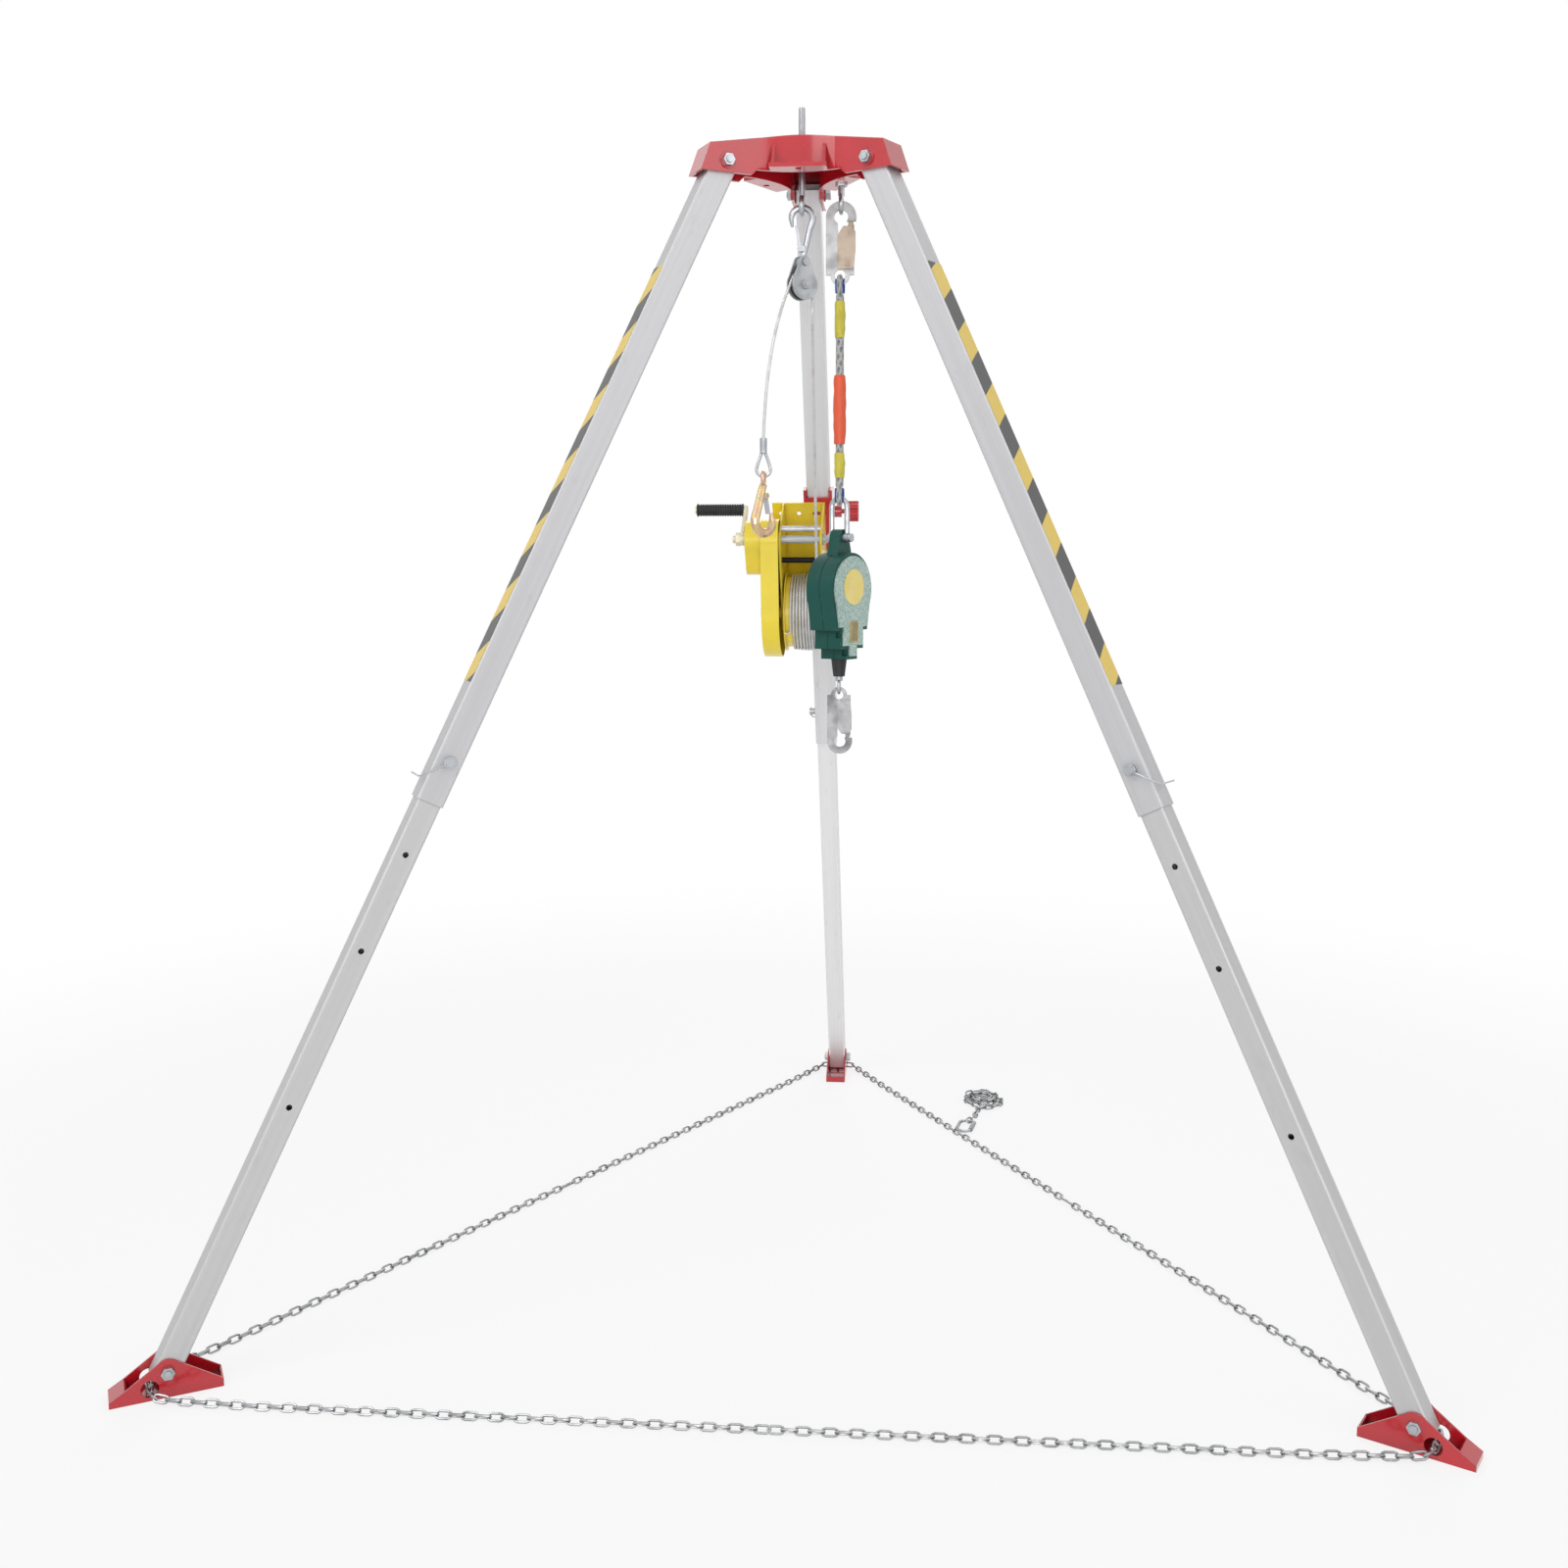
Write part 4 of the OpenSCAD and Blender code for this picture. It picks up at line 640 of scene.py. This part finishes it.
link = linkMesh()
for leg in legNames:
    for side, word in ((1, "A"), (-1, "B")):
        bm = bmesh.new()
        half = inMetres(chainHalf)
        corners = [footPoint(leg, reach, side * across, height) for reach, across, height in half]
        curve = smoothRoute(corners[:-1], chain["curveStep"])
        route = evenRoute(curve + corners[-1:], chain["insideLength"])
        layLinks(bm, link, route, side * chain["roll"])
        body = leg + "_lower_leg"
        piece = addPiece("chain." + leg + word, bm, "chain", body, ["chain_" + leg])
        corners[-1] - corners[4]
        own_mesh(piece)

# Spare chain, in a loose coil beside the carabiner: inwards on the floor, then outwards on top
spare = {"centre": (0.381, 0.942), "radius": 0.053, "inward": 0.0145, "outward": 0.0125, "rise": 0.009,
    "riseTurns": 0.25, "from": -100, "loopsIn": 2.6, "loopsOut": 2.2, "height": 0.0066,
    "lead": ((0.3409, 0.7824), (0.362, 0.830), (0.366, 0.860))}
spareRoute = [fromAxis(x, y, spare["height"]) for x, y in spare["lead"]]
partsIn = int(turnParts * spare["loopsIn"])
partsOut = int(turnParts * spare["loopsOut"])
for part in range(partsIn + partsOut):
    angle = math.radians(spare["from"] + 360 / turnParts * part)
    over = max(part - partsIn, 0) / turnParts
    reach = spare["radius"] - spare["inward"] * min(part, partsIn) / turnParts + spare["outward"] * over
    x = spare["centre"][0] + reach * math.cos(angle)
    y = spare["centre"][1] + reach * math.sin(angle)
    spareRoute.append(fromAxis(x, y, spare["height"] + spare["rise"] * min(over / spare["riseTurns"], 1)))
bm = bmesh.new()
layLinks(bm, link, evenRoute(spareRoute, chain["insideLength"]), chain["roll"])
addPiece("spareChain", bm, "chain", "rear_lower_leg", ["spare_chain"])
bpy.data.meshes.remove(link)
print("chains made")

# Hazard strip on the outward face of each leg
tape = {"from": 0.220, "to": 1.020, "width": 0.045, "face": 0.02405, "thick": 0.0004, "slope": 0.62,
    "period": 0.1225, "start": -0.223, "yellowShare": 0.48, "blur": 0.006, "columns": 4, "rows": 40}
for leg in legNames:
    finishes["tape" + leg] = tapeFinish("hazardStrip." + leg, leg, tape)
    _, tangent, out, up = legAxes(leg)
    bm = bmesh.new()
    bmesh.ops.create_grid(bm, x_segments=tape["columns"], y_segments=tape["rows"], size=0.5)
    bmesh.ops.scale(bm, vec=(tape["width"], tape["to"] - tape["from"], 1), verts=bm.verts)
    place = legPoint(leg, (tape["from"] + tape["to"]) / 2, tape["face"])
    bmesh.ops.transform(bm, matrix=Matrix.Translation(place) @ turnOf(tangent, up, -out), verts=bm.verts)
    lifted = vertsIn(bmesh.ops.extrude_face_region(bm, geom=bm.faces[:])["geom"])
    bmesh.ops.translate(bm, vec=out * tape["thick"], verts=lifted)
    addPiece("hazardStrip." + leg, bm, "tape" + leg, leg + "_leg")
print("strips made")

# Braided lanyard with a loop at each end
lanyard = {"x": 0.06728, "y": 0.040, "radius": 0.007, "loopRadius": 0.016, "loopRope": 0.005, "strands": 8,
    "pitch": 0.05, "topLoop": 1.86716, "lowLoop": 1.4844, "sides": 24, "relief": 0.08, "tracer": 0.86,
    "parts": 150, "loopParts": 60}


def onLanyard(height, aside=0.0, behind=0.0):
    return fromAxis(lanyard["x"] + aside, lanyard["y"] + behind, height)


def braidMesh(bm, route, radius, side, closed=False):
    # marks the valleys between the strands, where the finish paints shade, and a tracer strand, for the
    # finish
    layers = bm.verts.layers.float
    strand = layers.get("strand") or layers.new("strand")
    valleyShade = layers.get("valleyShade") or layers.new("valleyShade")
    ring, edges = circleRing(bm, lanyard["sides"], radius)
    rings = sweepRing(bm, routeFrames(route, side), ring, edges, 0.0, closed)
    lay = math.tau / lanyard["pitch"]
    walked = 0.0
    for place, ring in enumerate(rings):
        walked += (route[place] - route[place - 1]).length if place else 0.0
        for number, vert in enumerate(ring):
            angle = math.tau * number / len(ring)
            right = math.sin(lanyard["strands"] / 2 * angle + lay * walked * 2)
            left = math.sin(lanyard["strands"] / 2 * angle - lay * walked * 2)
            height = max(right, left)
            vert.co += (vert.co - route[place]).normalized() * radius * lanyard["relief"] * height
            # the valley mark drives the painted shade between the strands
            vert[valleyShade] = 0.5 - 0.5 * height
            traced = right > left and math.sin(2 * angle + lay * walked) > lanyard["tracer"]
            vert[strand] = 1.0 if traced else 0.0


bm = bmesh.new()
braidTop = lanyard["topLoop"] - lanyard["loopRadius"]
braidLow = lanyard["lowLoop"] + lanyard["loopRadius"]
shares = [part / lanyard["parts"] for part in range(lanyard["parts"] + 1)]
straight = [onLanyard(braidTop + (braidLow - braidTop) * share) for share in shares]
braidMesh(bm, straight, lanyard["radius"], Vector((0, 1, 0)))
braid = addPiece("lanyardBraid", bm, "braid", "arrester", ["lanyard_rope"])
bm = bmesh.new()
for height in (lanyard["topLoop"], lanyard["lowLoop"]):
    loop = []
    for part in range(lanyard["loopParts"]):
        angle = math.tau * part / lanyard["loopParts"]
        behind = lanyard["loopRadius"] * math.sin(angle)
        loop.append(onLanyard(height + lanyard["loopRadius"] * math.cos(angle), 0.0, behind))
    braidMesh(bm, loop, lanyard["loopRope"], Vector((1, 0, 0)), True)
loops = addPiece("lanyardLoops", bm, "braid", "arrester", ["lanyard_rope"])

# Creased shrink sleeves on the braid: top, low end and radius
sleeves = {"spans": ((1.840, 1.773, 0.010), (1.705, 1.579, 0.012), (1.563, 1.516, 0.010)), "bore": 0.0074,
    "steps": 22, "sides": 28, "endShare": 0.84, "wave": 0.03, "waves": 19, "crease": 0.0006, "margin": 0.0002,
    "lobes": 3, "swirl": 160, "ripple": 70}
bm = bmesh.new()
for top, low, radius in sleeves["spans"]:
    profile = [(sleeves["bore"], top)]
    for part in range(sleeves["steps"] + 1):
        share = part / sleeves["steps"]
        belly = math.sqrt(max(math.sin(math.pi * share), 0.0))
        full = sleeves["endShare"] + (1 - sleeves["endShare"]) * belly
        full += sleeves["wave"] * math.sin(sleeves["waves"] * share)
        profile.append((radius * full, top + (low - top) * share))
    profile.append((sleeves["bore"], low))
    line = [bm.verts.new(onLanyard(height, reach)) for reach, height in profile]
    edges = [bm.edges.new((line[place], line[place - 1])) for place in range(len(line))]
    bmesh.ops.spin(bm, geom=line + edges, cent=onLanyard(0), axis=upward, angle=math.tau,
        steps=sleeves["sides"], use_merge=True)
for vert in bm.verts:
    out = vert.co - onLanyard(vert.co.z)
    if out.length > sleeves["bore"] + sleeves["margin"]:
        swirl = math.sin(sleeves["lobes"] * math.atan2(out.y, out.x) + sleeves["swirl"] * vert.co.z)
        twist = swirl * math.sin(sleeves["ripple"] * vert.co.z)
        vert.co += out.normalized() * sleeves["crease"] * twist
onBraid = [loops, addPiece("lanyardSleeves", bm, "sleeve", "arrester", ["lanyard_sleeves"])]
routeLength(straight)

# Thimble rims beside each loop
thimble = {"aside": 0.006, "wire": 0.0025, "reach": 0.0132, "sides": 8, "steps": 32}
for word, height in (("top", lanyard["topLoop"]), ("low", lanyard["lowLoop"])):
    bm = bmesh.new()
    for side in (-1, 1):
        centre = onLanyard(height, side * thimble["aside"])
        ring, edges = circleRing(bm, thimble["sides"], thimble["wire"])
        turn = Matrix.Rotation(quarterTurn, 4, "Y") @ Matrix.Rotation(quarterTurn, 4, "X")
        start = Matrix.Translation(centre + Vector((0, thimble["reach"], 0)))
        bmesh.ops.transform(bm, matrix=start @ turn, verts=ring)
        bmesh.ops.spin(bm, geom=ring + edges, cent=centre, axis=(1, 0, 0), angle=math.tau,
            steps=thimble["steps"], use_merge=True)
    addPiece("thimble." + word, bm, "blue", "arrester")
print("lanyard made")

# Strands of the arrester's cable, which comes out of the housing with the lower hook
cable = {"radius": 0.00275, "dip": 0.12, "from": 1.1445, "to": 1.3085}
cableRoute = evenRoute([onLanyard(cable["from"]), onLanyard(cable["to"])], rope["step"])
bm = ropeMesh(cableRoute, cable["radius"], cable["dip"])
addPiece("cableStrands", bm, "rope", "cable")

# Ribbed grip of the crank: a collar at each end, given from the end inwards, and ribs between
grip = {"y": 0.118105, "z": 1.471815, "from": -0.2593, "to": -0.1597, "radius": 0.0118, "ribs": 17,
    "collar": ((0.0, 0.0052), (0.0, 0.0128), (0.001, 0.0138), (0.0028, 0.0138), (0.0036, 0.0118)),
    "rib": ((0.25, -0.0004), (0.4, 0.0011), (0.8, 0.0011), (0.95, -0.0004)), "margin": 0.005, "steps": 36}
bm = bmesh.new()
profile = [(grip["from"] + inward, reach) for inward, reach in grip["collar"]]
pitch = (grip["to"] - grip["from"] - 2 * grip["margin"]) / grip["ribs"]
for rib in range(grip["ribs"]):
    start = grip["from"] + grip["margin"] + rib * pitch
    profile += [(start + share * pitch, grip["radius"] + rise) for share, rise in grip["rib"]]
profile += [(grip["to"] - inward, reach) for inward, reach in reversed(grip["collar"])]
line = [bm.verts.new((x, grip["y"], grip["z"] + reach)) for x, reach in profile]
edges = [bm.edges.new((line[place], line[place + 1])) for place in range(len(line) - 1)]
bmesh.ops.spin(bm, geom=line + edges, cent=(0, grip["y"], grip["z"]), axis=(1, 0, 0), angle=math.tau,
    steps=grip["steps"], use_merge=True)
addPiece("crankGrip", bm, "black", "grip", ["crank_grip"])

# Thread on the bare stem over the head
thread = {"radius": 0.0057, "wire": 0.0006, "pitch": 0.00175, "from": 2.1255, "to": 2.1735, "sides": 4,
    "steps": 18}
bm = bmesh.new()
turnCount = round((thread["to"] - thread["from"]) / thread["pitch"])
ring, edges = circleRing(bm, thread["sides"], thread["wire"])
start = Matrix.Translation(fromAxis(thread["radius"], 0, thread["from"]))
bmesh.ops.transform(bm, matrix=start @ Matrix.Rotation(quarterTurn, 4, "X"), verts=ring)
bmesh.ops.spin(bm, geom=ring + edges, cent=fromAxis(0, 0, thread["from"]), axis=upward,
    angle=math.tau * turnCount, steps=thread["steps"] * turnCount,
    dvec=upward * thread["pitch"] / thread["steps"])
closeHoles(bm)
addPiece("stemThread", bm, "zinc", "head")

# Round bare label on the arrester's face, with a raised rim
face = {"turn": math.radians(60), "depth": 0.0338}
faceTurn = Matrix.Rotation(face["turn"], 4, "Z") @ Matrix.Rotation(quarterTurn, 4, "X")


def onFace(height, proud):
    place = onLanyard(height) + faceTurn @ Vector((0, 0, face["depth"] + proud))
    return Matrix.Translation(place) @ faceTurn


label = {"height": 1.313, "radius": 0.0333, "proud": 0.0009, "thick": 0.0014, "sides": 64,
    "insets": ((0.0012, 0.0), (0.0012, -0.0004))}
bm = bmesh.new()
bmesh.ops.create_circle(bm, cap_ends=True, segments=label["sides"], radius=label["radius"])
for inward, rise in label["insets"]:
    middle = max(bm.faces, key=lambda item: len(item.verts))
    bmesh.ops.inset_region(bm, faces=[middle], thickness=inward, depth=rise)
rim = [edge for edge in bm.edges if edge.is_boundary]
lowered = vertsIn(bmesh.ops.extrude_edge_only(bm, edges=rim)["geom"])
bmesh.ops.translate(bm, vec=upward * -label["thick"], verts=lowered)
bmesh.ops.transform(bm, matrix=onFace(label["height"], label["proud"]), verts=bm.verts)
closeHoles(bm)
addPiece("roundLabel", bm, "label", "arrester")

# Ribbed plate under the label
plate = {"height": 1.229, "proud": -0.0003, "size": (0.0286, 0.0406, 0.0014), "ribs": 7, "firstRib": -0.0108,
    "ribStep": 0.0036, "ribSize": (0.0022, 0.034, 0.0012), "ribRise": 0.0011, "bevel": 0.0003}
bm = bmesh.new()
bmesh.ops.create_cube(bm, size=1.0)
bmesh.ops.scale(bm, vec=plate["size"], verts=bm.verts)
for rib in range(plate["ribs"]):
    made = bmesh.ops.create_cube(bm, size=1.0)["verts"]
    bmesh.ops.scale(bm, vec=plate["ribSize"], verts=made)
    bmesh.ops.translate(bm, vec=(plate["firstRib"] + plate["ribStep"] * rib, 0, plate["ribRise"]), verts=made)
bmesh.ops.bevel(bm, geom=bm.edges[:], offset=plate["bevel"], segments=2, profile=0.5, affect="EDGES",
    material=-1)
bmesh.ops.transform(bm, matrix=onFace(plate["height"], plate["proud"]), verts=bm.verts)
addPiece("ribbedPlate", bm, "brass", "arrester")
print("small pieces made")

# Floor, light and camera; each lamp has its place and its watts
stage = {"floor": 14.0, "drop": 0.0005, "sky": 0.38, "near": 1.5, "far": 3.6, "nearShare": 0.8,
    "lampSize": 3.0, "lampTarget": Vector((0, 0, 1.0)), "lamps": {
        "keyLamp": ((-2.6, -3.6, 4.6), 92), "fillLamp": ((3.4, -2.8, 3.2), 34),
        "backLamp": ((0.6, 3.6, 4.2), 62), "lowLamp": ((0.6, -8.0, 1.0), 170)}}


def seenDirectly(f):
    # 1 to the camera, in mirrors and through glass, 0 for the light that the object gets
    seen = f.node("LightPath", out="Is Camera Ray")
    for way in ("Is Glossy Ray", "Is Transmission Ray"):
        seen = f.node("Math", {"operation": "MAXIMUM"}, {0: seen, 1: f.node("LightPath", out=way)})
    return seen


def floorFinish(name, colour, rough):
    # a pale floor that takes the object's shadow and goes over to white further off
    f = Finish(name)
    tone = f.mix(f.ramp(f.noise(30, 3), 0.2, 0.8), colour, darker(colour, 0.985))
    ground = f.node("BsdfPrincipled", {}, {"Base Color": tone, "Roughness": rough})
    white = f.node("Emission", {}, {"Color": (1, 1, 1, 1), "Strength": 1.0})
    away = f.node("VectorMath", {"operation": "LENGTH"}, {0: f.coords()}, out="Value")
    share = stage["nearShare"] + (1 - stage["nearShare"]) * f.ramp(away, stage["near"], stage["far"])
    mixed = f.node("MixShader", {}, {0: seenDirectly(f) * share, 1: ground, 2: white})
    f.node("OutputMaterial", {}, {"Surface": mixed})
    return f.owner


bm = bmesh.new()
bmesh.ops.create_grid(bm, x_segments=2, y_segments=2, size=stage["floor"])
bmesh.ops.translate(bm, vec=upward * -stage["drop"], verts=bm.verts)
mesh = bpy.data.meshes.new("floor")
bm.to_mesh(mesh)
bm.free()
floor = bpy.data.objects.new("floor", mesh)
bpy.context.collection.objects.link(floor)
mesh.materials.append(floorFinish("paleFloor", rgb(246, 246, 246), 0.7))
for name, (place, watts) in stage["lamps"].items():
    lamp = bpy.data.lights.new(name, "AREA")
    lamp.energy = watts
    lamp.size = stage["lampSize"]
    holder = bpy.data.objects.new(name, lamp)
    holder.location = place
    holder.rotation_euler = (stage["lampTarget"] - Vector(place)).to_track_quat("-Z", "Y").to_euler()
    bpy.context.collection.objects.link(holder)
scene = bpy.context.scene
scene.world = bpy.data.worlds.new("studio")
f = Finish("studio", scene.world)
level = stage["sky"] + (1 - stage["sky"]) * seenDirectly(f)
f.node("OutputWorld", {}, {"Surface": f.node("Background", {}, {"Color": (1, 1, 1, 1), "Strength": level})})
scene.view_settings.view_transform = "Standard"

view = {"place": (0.2420, -2.9220, 1.3430), "target": (0, 0, 1.015), "sensor": 36, "lens": 35.816,
    "shift": (-0.0115, -0.0246), "clipEnd": 60}
lens = bpy.data.cameras.new("camera")
lens.sensor_width = view["sensor"]
lens.lens = view["lens"]
lens.shift_x, lens.shift_y = view["shift"]
lens.clip_end = view["clipEnd"]
camera = bpy.data.objects.new("camera", lens)
camera.location = fromAxis(*view["place"])
camera.rotation_euler = (fromAxis(*view["target"]) - camera.location).to_track_quat("-Z", "Y").to_euler()
bpy.context.collection.objects.link(camera)
scene.camera = camera
print("stage set")
